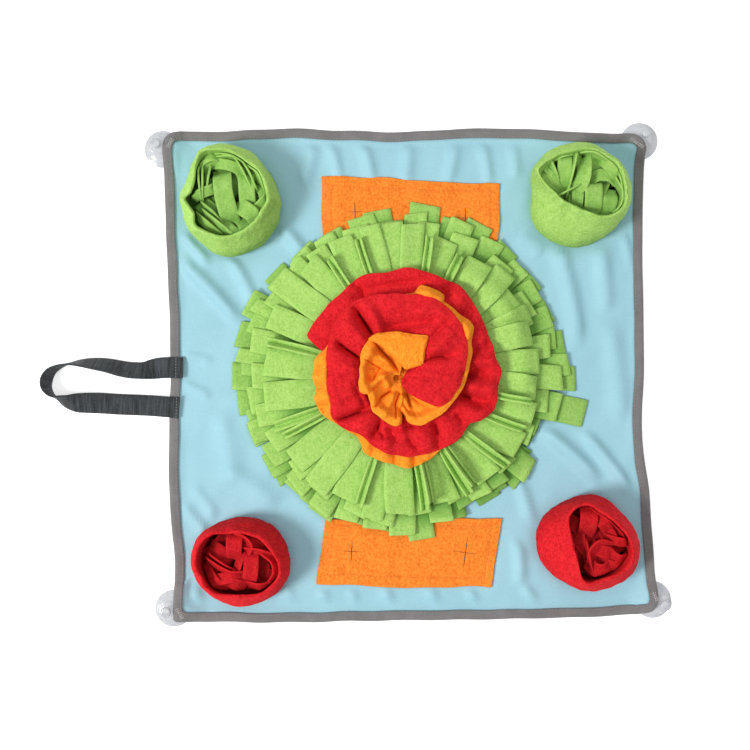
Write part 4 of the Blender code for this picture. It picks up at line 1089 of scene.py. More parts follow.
def mat_low(x, y):
    """Height of the underside of the blue cloth."""
    inside = smooth((HALF_SIDE - np.maximum(np.abs(x), np.abs(y)) - 6.0) / 14.0)
    soft = 0.55 * (1.0 + ripple(x, y, 62.0, 5)) + 0.22 * (1.0 + ripple(x, y, 23.0, 8))
    return corner_lift(x, y) + inside * off_pots(x, y) * (1.2 * ridges(CREASES, x, y) + soft) + 0.02


def mat_top(x, y):
    return mat_low(x, y) + PANEL_TOP - 0.3


def build_panel(props):
    edge = outline(3.4)
    lift = tape_lift(edge)
    thick = props.mat.cloth / MM
    rows = []
    for inset in PANEL_RINGS:
        x, y = lerp(inset_points(edge, inset), edge * (1.0 - inset / HALF_SIDE), smooth((inset - 5.0) / 24.0)).T
        free = smooth((inset - 8.0) / 8.0)
        low = lerp(lift + 1.55, mat_low(x, y), free)
        rows.append(np.stack([x, y, low + 0.5 * thick], -1))
    sheet = Cloth()
    sheet.add(np.stack(rows, 1), thick, round_u=True)
    made = sheet.object("mat_cloth")
    face_outwards(made.data, close_middle)
    place(made, oxford("blue_oxford", *tones(props, "blue")), "blue_cloth", "mat_panel")


def close_middle(work):
    """Fill the small hole that is left in the middle of the mat."""
    inner = [f for f in work.faces if all(v.co.xy.length < PANEL_HOLE * MM for v in f.verts)]
    bmesh.ops.delete(work, geom=inner, context="FACES")
    bmesh.ops.holes_fill(work, edges=[e for e in work.edges if e.is_boundary], sides=0)
    bmesh.ops.delete(work, geom=[v for v in work.verts if not v.link_faces], context="VERTS")


def build_binding(props):
    step = 2.4
    edge = outline(step)
    lift = tape_lift(edge)
    run = np.arange(len(edge)) * step
    puff = 0.28 * ripple(run, 0 * run, 26.0, 3) + 0.14 * ripple(run, 0 * run, 9.0, 4)
    width = 1.0 + 0.035 * ripple(run, 0 * run, 40.0, 7)
    loops = []
    for inset, height in TAPE_SECTION:
        on_top = float(height > 3.9)
        bulge = on_top * puff * smooth(1.0 - abs(inset - 4.0) / 5.0)
        dimple = -0.35 * on_top * math.exp(-(((inset - STITCH_INSET) / 0.9) ** 2))
        flat = inset_points(edge, (inset * width)[:, None])
        loops.append(np.column_stack([flat, height + lift + bulge + dimple]))
    made = swept("edge_tape", np.stack(loops, 1), ring=True)
    place(made, tape("grey_tape", *tones(props, "grey")), "grey_tape", "binding")
    path = np.column_stack([inset_points(edge, STITCH_INSET), lift + TAPE_SEAM_TOP])
    sizes = [size / MM for size in (props.thread.pitch, props.thread.stitch, props.thread.thick)]
    sewn = thread("tape_thread", props.colours.tape_thread)
    row = stitches("tape_stitches", [np.concatenate([path, path[:1]])], sewn, "grey_tape", sizes)
    bars = []
    for a, b in np.array(BAR_TACKS):
        way = unit(b - a)
        side = np.array((-way[1], way[0]))
        for start, end in ((-1.5, -0.3), (-0.3, 1.5), (1.5, 0.3), (0.3, -1.5)):
            line = [a + side * lerp(start, end, t) + (b - a) * t for t in np.linspace(0, 1, 6)]
            bars.append([(q[0], q[1], float(corner_lift(q[0], q[1])) + TACK_TOP) for q in line])
    white = thread("tack_thread", props.colours.tack_thread)
    tacks = stitches("corner_tacks", bars, white, "grey_tape", TACK_STITCH)


# ---- patches


def patch_point(corners, u, v):
    a, b, c, d = (np.array(corner) for corner in corners)
    u, v = np.asarray(u, float)[..., None], np.asarray(v, float)[..., None]
    p = lerp(lerp(a, b, u), lerp(d, c, u), v)
    wave = 0.9 * np.sin(5.0 * u[..., 0] + 2.0 * v[..., 0]) * (1.0 - np.abs(2.0 * u[..., 0] - 1.0))
    wave = wave + 0.45 * ripple(u[..., 0] * 160.0, v[..., 0] * 60.0, 26.0, 17)
    p = p + np.stack([0.35 * wave, wave], -1)
    wander = [0.9 * ripple(p[..., 0], p[..., 1], size, seed) for size, seed in ((34.0, 41), (27.0, 42))]
    return p + np.stack(wander, -1)


def patch_low(x, y):
    """Height of a patch's underside where the cloth under it is nearly flat."""
    return np.minimum(mat_top(x, y), PANEL_TOP + 1.1) + PATCH_GAP


def build_patches(props):
    felt = fleece("orange_felt", *tones(props, "orange_felt"), sheen=0.04)
    sewn = thread("patch_thread", props.colours.patch_thread)
    long, wide = PATCH_SIZE
    for seed, (name, patch) in enumerate(PATCHES.items()):
        u, v = np.meshgrid(np.linspace(0, 1, 121), np.linspace(0, 1, 49), indexing="ij")
        p = patch_point(patch["corners"], u, v)
        x, y = p[..., 0], p[..., 1]
        u0, u1, v0, v1 = patch["stitch"]
        seam = np.minimum(np.minimum(np.abs(u - u0), np.abs(u - u1)) * long,
                          np.minimum(np.abs(v - v0), np.abs(v - v1)) * wide)
        quilt = -0.55 * np.exp(-((seam / 1.6) ** 2))
        lumps = 0.55 * ripple(x, y, 19.0, 31 + seed) + 0.25 * ripple(x, y, 8.0, 37)
        inner = smooth(np.minimum(np.minimum(u, 1 - u) * long, np.minimum(v, 1 - v) * wide) / 12.0)
        z = patch_low(x, y) + 0.5 * PATCH_THICK + quilt + 0.6 * inner + lumps * inner * 0.6
        sheet = Cloth()
        sheet.add(np.stack([x, y, z], -1), PATCH_THICK - 0.4)
        made = sheet.object(name.replace("patch", "felt_patch"))
        cut_slits(made, name, patch["slits"])
        place(made, felt, "orange_felt", name)
        path = []
        turns = ((u0, v0), (u1, v0), (u1, v1), (u0, v1), (u0, v0))
        for a, b in zip(turns, turns[1:]):
            for t in np.linspace(0, 1, 60):
                q = patch_point(patch["corners"], lerp(a[0], b[0], t), lerp(a[1], b[1], t))
                path.append((*q, float(patch_low(*q)) + PATCH_THICK + 0.1))
        row = stitches(name + "_stitches", [path], sewn, "orange_felt", PATCH_STITCH)


def cut_slits(made, name, slits):
    """Cut the two crossing slits at each place."""
    cutters = []
    ts = np.linspace(-1, 1, 13)
    for number, (x, y, turn, *lengths) in enumerate(slits):
        for arm in (0, 1):
            half, wide = 0.5 * lengths[arm], 0.5 * SLIT_WIDTH * (1.0 - 0.45 * arm)
            way = math.radians(turn + 90 * (1 - arm))
            c, s = math.cos(way), math.sin(way)
            lens = [(half * t, wide * (1 - t * t)) for t in ts] + [(half * t, -wide * (1 - t * t)) for t in ts[-2:0:-1]]
            sections = [[(x + a * c - b * s, y + a * s + b * c, z) for a, b in lens] for z in (-1.0, 12.0)]
            cutter = swept(f"{name}_slit_{number}_{arm}", sections)
            cut = made.modifiers.new("slit", "BOOLEAN")
            cut.operation, cut.solver, cut.object = "DIFFERENCE", "EXACT", cutter
            cutters.append(cutter)
    bake(made)
    made.data.set_sharp_from_angle(angle=math.radians(50.0))
    for cutter in cutters:
        bpy.data.objects.remove(cutter)


# ---- fringe


LAID = []


class Pile:
    """Height of what already lies on the mat, on an even grid, so that each strip rests on those below."""

    STEP = 1.0

    def __init__(self, centre, half):
        self.x0, self.y0 = centre[0] - half, centre[1] - half
        ticks = np.arange(0.0, 2 * half + self.STEP, self.STEP)
        x, y = np.meshgrid(self.x0 + ticks, self.y0 + ticks, indexing="ij")
        self.height = mat_top(x, y)
        for patch in PATCHES.values():
            corners = np.array(patch["corners"])
            low, high = corners.min(0), corners.max(0)
            side = np.minimum(np.minimum(x - low[0], high[0] - x), np.minimum(y - low[1], high[1] - y))
            on = smooth(side / 4.0 + 1.0)
            self.height += on * (patch_low(x, y) + PATCH_THICK + 0.4 - mat_top(x, y))

    def read(self, x, y):
        i = np.clip((x - self.x0) / self.STEP, 0, self.height.shape[0] - 1.001)
        j = np.clip((y - self.y0) / self.STEP, 0, self.height.shape[1] - 1.001)
        a, b = i.astype(int), j.astype(int)
        s, t = i - a, j - b
        h = self.height
        return (h[a, b] * (1 - s) * (1 - t) + h[a + 1, b] * s * (1 - t)
                + h[a, b + 1] * (1 - s) * t + h[a + 1, b + 1] * s * t)

    def wide_read(self, x, y, reach=1.4):
        """Highest point near each place."""
        found = self.read(x, y)
        for dx, dy in ((1, 0), (-1, 0), (0, 1), (0, -1), (0.7, 0.7), (-0.7, 0.7), (0.7, -0.7), (-0.7, -0.7)):
            found = np.maximum(found, self.read(x + reach * dx, y + reach * dy))
        return found

    def lay(self, x, y, z):
        i = np.rint((x - self.x0) / self.STEP).astype(int).ravel()
        j = np.rint((y - self.y0) / self.STEP).astype(int).ravel()
        ok = (i >= 0) & (j >= 0) & (i < self.height.shape[0]) & (j < self.height.shape[1])
        np.maximum.at(self.height, (i[ok], j[ok]), z.ravel()[ok])


def finer(grid, times):
    """The same grid with straight steps added between its points."""
    for axis in (0, 1):
        n = grid.shape[axis]
        at = np.linspace(0, n - 1, (n - 1) * times + 1)
        i = np.minimum(at.astype(int), n - 2)
        t = (at - i).reshape([-1 if k == axis else 1 for k in range(3)])
        grid = lerp(np.take(grid, i, axis), np.take(grid, i + 1, axis), t)
    return grid


def settle(x, y, start, pile, thick, sag):
    """Let a strip sink from its starting heights until it lies on what is below, keeping its bends soft."""
    held, rounds = 2, 120
    floor = pile.wide_read(x, y) + 0.5 * thick + 0.25
    z = np.maximum(start, floor)
    fixed = z[:held].copy()
    for _ in range(rounds):
        z[held:] -= sag
        soft = z.copy()
        soft[1:-1] = 0.25 * z[:-2] + 0.5 * z[1:-1] + 0.25 * z[2:]
        soft[-1] = lerp(z[-1], 2 * z[-2] - z[-3], 0.5)
        flat = soft.mean(1, keepdims=True)
        lean = (soft[:, -1:] - soft[:, :1]) * np.linspace(-0.5, 0.5, z.shape[1])[None]
        z = lerp(soft, flat + lean, 0.35)
        z = np.maximum(z, floor)
        z[:held] = fixed
    return z


def build_fringe(props):
    thick = props.fringe.fleece / MM
    spin = np.random.default_rng(props.fringe.seed)
    pile = Pile(FRINGE_CENTRE, FRINGE_ROOM)
    LAID.append(pile)
    for row, table in STRIPS.items():
        root, base = ROOTS[row]
        strips = table.records()
        order = [strips[k] for k in spin.permutation(len(strips))]
        folded = FOLDED.records() if row == FOLDED_ROW else []
        sheet = Cloth()
        for strip in order + folded:
            sheet.add(strip_grid(strip, root, base, spin, pile, thick), thick)
        sheet.add(band_grid(root, base), thick, round_u=True)
        made = sheet.object(f"fringe_row_{row}")
        # Painted shade: each row darkens low down and where the row above covers its roots.
        green = fleece_of("green", props, f"green_fringe_{row}", hollow=FRINGE_PAINTED_SHADE, under=COVERED[row])
        place(made, green, "green_fleece", f"fringe_tier_{row}")
        length = sum(s["width"] for s in strips + folded) * MM
        depth = float(np.mean([s["reach"] for s in strips + folded]) - root) * MM


def band_grid(root, base):
    """The band that the strips grow out of, standing on the mat."""
    turn = np.linspace(0, math.tau, 97)[:-1]
    foot = PANEL_TOP + 1.6
    section = ((-2.0, foot), (-1.4, 0.5 * (base + foot)), (-0.4, base + 1.0), (2.0, base + 1.6))
    rows = [np.stack([FRINGE_CENTRE[0] + (root + out) * np.cos(turn), FRINGE_CENTRE[1] + (root + out) * np.sin(turn),
                      z + 0 * turn], -1) for out, z in section]
    return np.stack(rows, 1)


def strip_grid(strip, root, base, spin, pile, thick):
    """Middle surface of one strip of the fringe, come to rest on the strips below it."""
    stations, lanes = 22, 7
    share = np.linspace(0, 1, stations)
    azimuth = math.radians(strip["azimuth"])
    swing = math.radians(strip["swing"] + spin.uniform(-0.6, 0.6))
    bow = spin.uniform(-1.8, 1.8)
    start = np.array((math.cos(azimuth + swing), math.sin(azimuth + swing))) * root
    end = np.array((math.cos(azimuth), math.sin(azimuth))) * strip["reach"]
    way = unit(end - start)
    side = np.array((-way[1], way[0]))
    middle = start + np.outer(share, end - start) + np.outer(4 * bow * share * (1 - share), side)
    fold = math.radians(strip.get("fold", 0.0))
    width = strip["width"] * (0.80 + 0.20 * smooth(share * 1.7)) * (1.0 + 0.02 * spin.normal(size=1)) * math.cos(fold)
    across = np.linspace(-0.5, 0.5, lanes)
    cut = spin.uniform(-1.6, 1.6)
    x, y = (FRINGE_CENTRE[k] + middle[:, k:k + 1] + side[k] * width[:, None] * across
            + way[k] * (share ** 6)[:, None] * cut * across * 2 for k in (0, 1))
    bend_at = np.clip((SHOULDER - root) / (strip["reach"] - root), 0.5, 0.86)
    arch = strip["arch"] * 2.6 * np.exp(-(((share - bend_at) / 0.17) ** 2))
    fall = base + 0.5 * thick + 0.8 + arch - 2.0 * share
    curl = spin.uniform(-1.0, 1.0) * 1.1
    cup = curl * (4 * across ** 2 - 0.4) * smooth(share * 1.3)[:, None]
    stiff = 0.020 if strip["arch"] else 0.045
    z = settle(x, y, np.repeat(fall[:, None], lanes, 1), pile, thick, stiff)
    z = np.maximum(z + arch[:, None] * 0.55 + cup * 0.6, pile.wide_read(x, y) + 0.5 * thick + 0.2)
    z[1:-1] = 0.25 * z[:-2] + 0.5 * z[1:-1] + 0.25 * z[2:]
    lifted = spin.uniform(0, 1) ** 3 * 2.6
    z += lifted * smooth((share - 0.72) / 0.28)[:, None]
    z += strip["width"] * math.sin(fold) * np.abs(across) * smooth(share * 2.0)[:, None]
    grid = np.stack([x, y, z], -1)
    fine = finer(grid, 4)
    pile.lay(fine[..., 0], fine[..., 1], fine[..., 2] + 0.5 * thick)
    return grid


# ---- rosette


def fold_height(folds, angle, across):
    """Height of the ribbon's folds: each runs across it, easing in and out at its two ends."""
    height = np.zeros(np.broadcast(angle, across).shape)
    for f in folds.records():
        middle = f["angle"] + f["lean"] * (across - 0.6)
        span = (across - f["start"]) / (f["end"] - f["start"])
        along = smooth(span / 0.34) * smooth((1.0 - span) / 0.30)
        off = np.abs(angle - middle) / (0.8 * f["half_width"])
        height = height + f["height"] * along * np.exp(-(off ** (1.6 if f["height"] < 0 else 2.0)))
    return height


def wind(table, roots, seed, folds=None, lines=None):
    """A ruffled ribbon: angles round the spiral, and points from its sewn root to its free edge."""
    start, end = table.rows[0, 0], table.rows[-1, 0]
    angles = np.linspace(start, end, int((end - start) / TURN_STEP))
    angle, across = np.meshgrid(angles, np.linspace(0, 1, 46) ** 0.9, indexing="ij")
    root, low, bowl = roots.at("root", angle), roots.at("low", angle), roots.optional("bowl", angle)
    height, dish = table.at("height", angle), table.optional("dish", angle)
    radius = lerp(root, table.at("reach", angle, crisp=True), across)
    puffed = 1.0 - (1.0 - across) ** lerp(6.0, 8.0, smooth(angle / 360.0 - 1.5))
    puffed = lerp(puffed, 0.55 * across + 0.45 * smooth((across - 0.68) / 0.18), bowl)
    z = low + (height - low) * lerp(puffed, across ** 1.5, dish)
    turn = np.radians(angle)
    if lines:
        x, y = ROSETTE_CENTRE[0] + radius * np.cos(turn), ROSETTE_CENTRE[1] + radius * np.sin(turn)
        z = z + lerp(smooth((angle - 330.0) / 30.0), 1.0, bowl) * ridges(lines, x, y)
    if folds:
        z = z + fold_height(folds, angle, across)
    rim = smooth((across - 0.82) / 0.18)
    along, wide, loose = angle * 1.1, across * 40.0, smooth(across * 2.0)
    z = z - 2.2 * rim * rim + 0.6 * ripple(along, wide, 21.0, seed) * loose
    z = z + 0.4 * ripple(along, wide, 8.0, seed + 1) * loose
    radius = radius + 0.5 * ripple(along, 0.0 * across, 17.0, seed + 2) * rim
    return dict(angles=angles, angle=angle, radius=radius, z=z)


def scrap(centre, half, height, seed):
    """A crumpled round of cloth, its edge lower than its middle."""
    ticks = np.linspace(-1, 1, 27)
    u, v = np.meshgrid(ticks, ticks, indexing="ij")
    x = centre[0] + half * u * np.sqrt(1 - 0.5 * v * v)
    y = centre[1] + half * v * np.sqrt(1 - 0.5 * u * u)
    z = height + 2.2 * ripple(x, y, 9.0, seed) + 1.0 * ripple(x, y, 4.5, seed + 1) - 3.0 * (u * u + v * v)
    return np.stack([x, y, z], -1)


class Nest:
    """Keeps the turns of the rosette apart, each lying under the ones further in.

    A turn presses on what follows it from BEHIND degrees on, and the two ribbons on each other within BESIDE degrees.
    """

    OPEN, BEHIND, BESIDE = 999.0, 300.0, 3.0

    def __init__(self, gap):
        self.gap = gap
        self.radii = np.arange(0.0, 125.0, 1.0)
        self.ceiling = np.full((int(360 / TURN_STEP), len(self.radii)), self.OPEN)

    def cover(self, angle, radius, z):
        """Nothing laid later may rise through this column."""
        row = self.ceiling[int(round(angle / TURN_STEP)) % len(self.ceiling)]
        under = np.interp(self.radii, radius, z, left=self.OPEN, right=self.OPEN)
        np.minimum(row, under, out=row)

    def limit(self, angle, radius):
        """Heights under all that already lies over this column or close beside it."""
        middle = int(round(angle / TURN_STEP))
        row = np.min([self.ceiling[(middle + k) % len(self.ceiling)] for k in (-2, -1, 0, 1, 2)], axis=0)
        row = np.minimum(row, np.minimum(np.roll(row, 1), np.roll(row, -1)))
        return np.interp(radius, self.radii, row) - self.gap


def spread(field, rounds):
    """Soften a field over its neighbours, along and across."""
    for _ in range(rounds):
        soft = field.copy()
        soft[1:-1] = 0.25 * field[:-2] + 0.5 * field[1:-1] + 0.25 * field[2:]
        field = soft.copy()
        field[:, 1:-1] = 0.25 * soft[:, :-2] + 0.5 * soft[:, 1:-1] + 0.25 * soft[:, 2:]
    return field


def nest_turns(ribbons, gap):
    """Press every turn down under the turns that lie on it: once softly, then once more to be sure."""
    columns = sorted((angle, order, k) for order, ribbon in enumerate(ribbons)
                     for k, angle in enumerate(ribbon["angles"]))
    for soft in (True, False):
        nest, waiting = Nest(gap), []
        free = [ribbon["z"].copy() for ribbon in ribbons]
        limits = [np.full(z.shape, Nest.OPEN) for z in free]
        for angle, order, k in columns:
            ribbon = ribbons[order]
            while waiting and waiting[0][0] < angle - Nest.BEHIND:
                _, other, row = waiting.pop(0)
                above = ribbons[other]
                nest.cover(above["angles"][row], above["radius"][row], above["z"][row])
            limit = nest.limit(angle, ribbon["radius"][k])
            if order == 1:
                mate = ribbons[0]
                for row in np.flatnonzero(np.abs(mate["angles"] - angle) < Nest.BESIDE):
                    mates = np.interp(ribbon["radius"][k], mate["radius"][row], mate["z"][row],
                                      left=Nest.OPEN, right=Nest.OPEN)
                    limit = np.minimum(limit, mates - gap)
            limits[order][k] = limit
            ribbon["z"][k] = np.minimum(ribbon["z"][k], limit)
            waiting.append((angle, order, k))
        if soft:
            for ribbon, limit, start in zip(ribbons, limits, free):
                pressed = np.minimum(limit - start, 0.0)
                ribbon["z"] = np.minimum(start + spread(pressed, 3), np.minimum(limit, start))


def build_rosette(props):
    thick = props.rosette.fleece / MM
    pile = LAID[-1]
    red = wind(RED, RED_ROOT, 61, RED_FOLDS, RED_CREASES)
    orange = wind(ORANGE, ORANGE_ROOT, 51, ORANGE_FOLDS, BOWL_FOLDS)
    flap = wind(ORANGE_FLAP, ORANGE_FLAP, 54)
    nest_turns([red, orange, flap], thick + NEST_GAP)
    for tint, ribbons, flat, lift in (
        ("red", [red], (0.065, 0.66), 2.2),
        ("orange", [orange, flap], (0.060, 0.55), 0.6),
    ):
        sheet = Cloth()
        for ribbon in ribbons:
            turn = np.radians(ribbon["angle"])
            x = ROSETTE_CENTRE[0] + ribbon["radius"] * np.cos(turn)
            y = ROSETTE_CENTRE[1] + ribbon["radius"] * np.sin(turn)
            out = np.hypot(x - FRINGE_CENTRE[0], y - FRINGE_CENTRE[1])
            floor = np.where(out > BAND_INSIDE, pile.wide_read(x, y, 2.2), PANEL_TOP) + 0.5 * thick + lift
            z = np.maximum(ribbon["z"], spread(floor, 2))
            sheet.add(np.stack([x, y, z], -1), thick)
        if tint == "orange":
            sheet.add(scrap(*HEART, 91), thick)
        made = sheet.object(f"rosette_{tint}_ribbon")
        place(made, fleece_of(tint, props), tint + "_fleece", "rosette_" + tint)


# ---- pots


def pot_wall(pot, row, azimuth, seed):
    """Points of a pot's wall, from its base outside to its base inside."""
    up, base, mouth, out = (POT_WALL.at(name, row) for name in ("up", "base", "mouth", "out"))
    a = np.radians(azimuth)
    way = np.stack([np.cos(a), np.sin(a)], -1)
    foot = 1.0 / np.hypot(np.cos(a) / pot["base"][0], np.sin(a) / pot["base"][1])
    at_base = np.array(pot["place"]) + way * foot[..., None]
    wide = pot["mouth"].at("outer", azimuth)
    ring = lerp(wide, pot["mouth"].at("inner", azimuth), mouth / np.maximum(1.0 - base, 1e-6) * (base < 1.0))
    p = lerp(np.array(pot["rim"]) + way * ring[..., None], at_base, base[..., None])
    round_it = azimuth * 0.75
    puckers = 0.6 * ripple(round_it, 60.0 * up, 24.0, seed) + 0.3 * ripple(round_it, 60.0 * up, 9.0, seed + 1)
    p = p + way * (out + puckers * smooth(8.0 - np.abs(row - 4.0)))[..., None]
    height = pot["height"] - PANEL_TOP
    for at, half, drop in pot["dips"]:
        off = (azimuth - at + 180.0) % 360.0 - 180.0
        height = height - drop * np.exp(-((off / half) ** 2))
    height = height + 0.7 * ripple(round_it, 0.0 * up, 30.0, seed + 2)
    z = PANEL_TOP + 0.5 + height * up
    return np.concatenate([p, z[..., None]], -1)


def build_pots(props):
    rows = np.linspace(0, len(POT_WALL.rows) - 1, 65)
    azimuth, row = np.meshgrid(np.linspace(0, 360, 161)[:-1], rows, indexing="ij")
    for seed, (name, pot) in enumerate(POTS.items()):
        made = swept(name.replace("pot", "fleece_pot"), pot_wall(pot, row, azimuth, 71 + 3 * seed), ring=True)
        tint = tint_of(name)
        place(made, fleece_of(tint, props), tint + "_fleece", name)
        girth = math.tau * sum(pot["base"]) / 2 * MM
        (pot["height"] + 2.0) * MM


def tint_of(name):
    """The two pots at the top are green, and the two at the bottom red."""
    return "green" if "top" in name else "red"


def through(points, steps):
    """A smooth run of points through these ones."""
    keys = run_of(points)
    table = Table("key x y z", *np.column_stack([keys, points]))
    at = np.linspace(0, keys[-1], steps)
    return np.stack([table.at(name, at) for name in "xyz"], -1)


def tail(end, before, tuck):
    """Points that turn down from this end of a strip and are tucked in."""
    flat = unit(unit(end - before) * (1, 1, 0))
    points, at = [], end
    for turn in np.radians([20, 45, 70, 85]):
        at = at + 1.7 * (flat * math.cos(turn) + np.array((0, 0, -1.0)) * math.sin(turn))
        points.append(at)
    for _ in range(3):
        at = at + np.array((0, 0, -tuck / 3))
        points.append(at)
    return points


def stuffed_strip(width, tilt_0, tilt_1, points, tuck=11.0):
    """Middle surface of one strip: along its points, with both ends tucked down between the others."""
    points = np.asarray(points, float)
    run = through(points, max(9, int(np.linalg.norm(np.diff(points, axis=0), axis=1).sum() / 1.8)))
    run = np.concatenate([tail(run[0], run[1], tuck)[::-1], run, tail(run[-1], run[-2], tuck)])
    way = unit(np.gradient(run, axis=0))
    level = np.stack([-way[:, 1], way[:, 0], 0 * way[:, 0]], -1)
    centre = unit((points[-1] - points[0]) * (1, 1, 0))
    level = unit(level + 0.6 * np.array((-centre[1], centre[0], 0.0)))
    up = np.cross(way, level)
    tilt = np.radians(np.linspace(tilt_0, tilt_1, len(run)))[:, None]
    side = level * np.cos(tilt) + up * np.sin(tilt)
    across = np.linspace(-0.5, 0.5, 6)
    curl = 0.05 * width * (4 * across ** 2 - 0.3)
    lift = np.cross(side, way)
    return run[:, None] + side[:, None] * (width * across)[:, None] - lift[:, None] * curl[:, None]


def loose_strip(pot, turn, depth, spin):
    """A strip at a random place below the others, about this way round the pot and this deep."""
    out = float(pot["mouth"].at("inner", math.degrees(turn) % 360.0)) * spin.uniform(0.35, 0.86)
    way = turn + spin.uniform(-1.0, 1.0) + 1.2
    middle = np.array((out * math.cos(turn), out * math.sin(turn), depth + spin.uniform(-2, 2)))
    step = np.array((math.cos(way), math.sin(way), 0.0)) * spin.uniform(6, 9)
    points = [middle - step - (0, 0, 2), middle, middle + step - (0, 0, 2)]
    return stuffed_strip(spin.uniform(11, 15), spin.uniform(-30, 30), spin.uniform(-30, 30), points, 5.0)


def build_fillings(props):
    for seed, (name, strips) in enumerate(FILLINGS.items()):
        holder, label = name.replace("filling", "pot"), name.replace("filling", "stuffing")
        pot = POTS[holder]
        spin = np.random.default_rng(300 + seed)
        centre = np.array((*pot["rim"], pot["height"] - pot["sunk"]))
        grids = [stuffed_strip(*strip[:3], strip[3:]) for strip in strips]
        for depth, count in DEPTHS:
            for k in range(count):
                turn = math.tau * (k + spin.uniform(0, 0.7)) / count
                grids.append(loose_strip(pot, turn, depth, spin))
        wad = max(pot["base"]) - WAD_INSET
        sheet, area = Cloth(), math.pi * wad ** 2
        sheet.add(scrap(pot["place"], wad, PANEL_TOP + WAD_HEIGHT, 310 + 2 * seed), STUFFING_THICK)
        for grid in grids:
            grid = within_pot(grid + centre, pot)
            area += float(np.linalg.norm(np.diff(grid[:, 3], axis=0), axis=1).sum() * MEAN_STRIP)
            sheet.add(grid, STUFFING_THICK)
        made = sheet.object(label)
        tint = tint_of(name)
        # Painted shade: the stuffing darkens the deeper it lies in the pot.
        below, above, strength = STUFFING_PAINTED_SHADE
        hollow = (centre[2] + below, centre[2] + above, strength)
        place(made, fleece_of(tint, props, label, hollow=hollow), tint + "_fleece", name)
        flat = (area * MM * MM / STUFFING_WIDTH, STUFFING_WIDTH)


def within_pot(grid, pot):
    """Draw points in so that they stay inside the pot's wall and over the mat."""
    x, y, z = grid[..., 0] - pot["rim"][0], grid[..., 1] - pot["rim"][1], np.maximum(grid[..., 2], PANEL_TOP + 1.6)
    azimuth = np.degrees(np.arctan2(y, x)) % 360.0
    room = pot["mouth"].at("inner", azimuth) - 1.3
    out = np.hypot(x, y)
    pull = np.minimum(1.0, room / np.maximum(out, 1e-6))
    return np.stack([pot["rim"][0] + x * pull, pot["rim"][1] + y * pull, z], -1)


# ---- handle and suction cups


def build_handle(props):
    along = np.linspace(0, WEB_PATH.rows[-1, 0], 620)
    middle = np.stack([WEB_PATH.at("x", along), WEB_PATH.at("y", along)], -1)
    turn = np.radians(WEB_PATH.at("turn", along))
    way = unit(np.gradient(middle, axis=0))
    width, thick = props.handle.width / MM, props.handle.thick / MM
    inwards = np.stack([-way[:, 1], way[:, 0], 0 * along], -1)
    up = np.array((0.0, 0.0, 1.0))
    across = inwards * np.cos(turn)[:, None] + up * np.sin(turn)[:, None]
    face = np.cross(np.stack([way[:, 0], way[:, 1], 0 * along], -1), across)
    rest = 0.5 * width * np.abs(np.sin(turn)) + 0.5 * thick * np.abs(np.cos(turn))
    on = smooth((middle[:, 0] - WEB_CLIMB_FROM) / WEB_CLIMB)
    centre = np.stack([middle[:, 0], middle[:, 1], rest + lerp(0.4, ON_TAPE, on)], -1)
    run = run_of(centre)
    rib = 0.16 * np.sin(run * math.tau / props.handle.rib * MM)
    a, b = np.concatenate([WEB_SIDE, -np.array(WEB_SIDE)]).T
    crown = np.sign(b) * (np.abs(b) > 0.4) * np.where(np.abs(a) < 0.47, 1.0, 0.5)
    out = thick * b + rib[:, None] * crown
    sections = centre[:, None] + (width * a)[:, None] * across[:, None] + out[..., None] * face[:, None]
    made = swept("carry_loop", sections)
    place(made, webbing("black_webbing", *tones(props, "black")), "black_webbing", "handle")
    top = ON_TAPE + thick + 0.35 + (rest[0] - 0.5 * thick)
    lines = [[(x + 0.02 * k, y - 0.5 * WEB_SEAM_LENGTH + k, top) for k in np.linspace(0, WEB_SEAM_LENGTH, 18)]
             for x, y in WEB_SEAMS]
    sewn = thread("loop_thread", props.colours.loop_thread)
    row = stitches("loop_stitches", lines, sewn, "black_webbing", WEB_STITCH)


def build_cups(props):
    clear = vinyl("clear_vinyl", props.colours.vinyl)
    section = np.array(CUP_SECTION)
    lean = smooth((section[:, 1] - 1.0) / 5.0) * (np.arange(len(section)) > CUP_RIM_POINTS)
    turn = np.linspace(0, math.tau, 73)[:-1]
    for name, cup in SUCTION_CUPS.items():
        sections = []
        for (radius, height), share in zip(section[1:-1], lean[1:-1]):
            sections.append(np.stack([
                cup["place"][0] + cup["lean"][0] * share + radius * np.cos(turn),
                cup["place"][1] + cup["lean"][1] * share + radius * np.sin(turn),
                height + 0 * turn,
            ], -1))
        made = soften(swept(name.replace("suction_cup", "clear_cup"), sections))
        place(made, clear, "clear_vinyl", name)


# ---- stage

# In metres: half the floor's side, how far it lies below the mat, and each light's place, size and power
FLOOR_HALF = 6.0
FLOOR_DROP = -0.0004
LIGHTS = (("key", (-2.10, -0.75, 2.40), 0.84, 80.0), ("over", (0.1, 0.35, 1.9), 2.2, 15.5))
ROOM_LIGHT = ((0.97, 0.985, 1.0, 1.0), 0.37)
# The camera looks straight down from here, through a lens of this many millimetres
CAMERA_PLACE = (-0.0324, -0.0015, 1.0)
LENS = 51.3


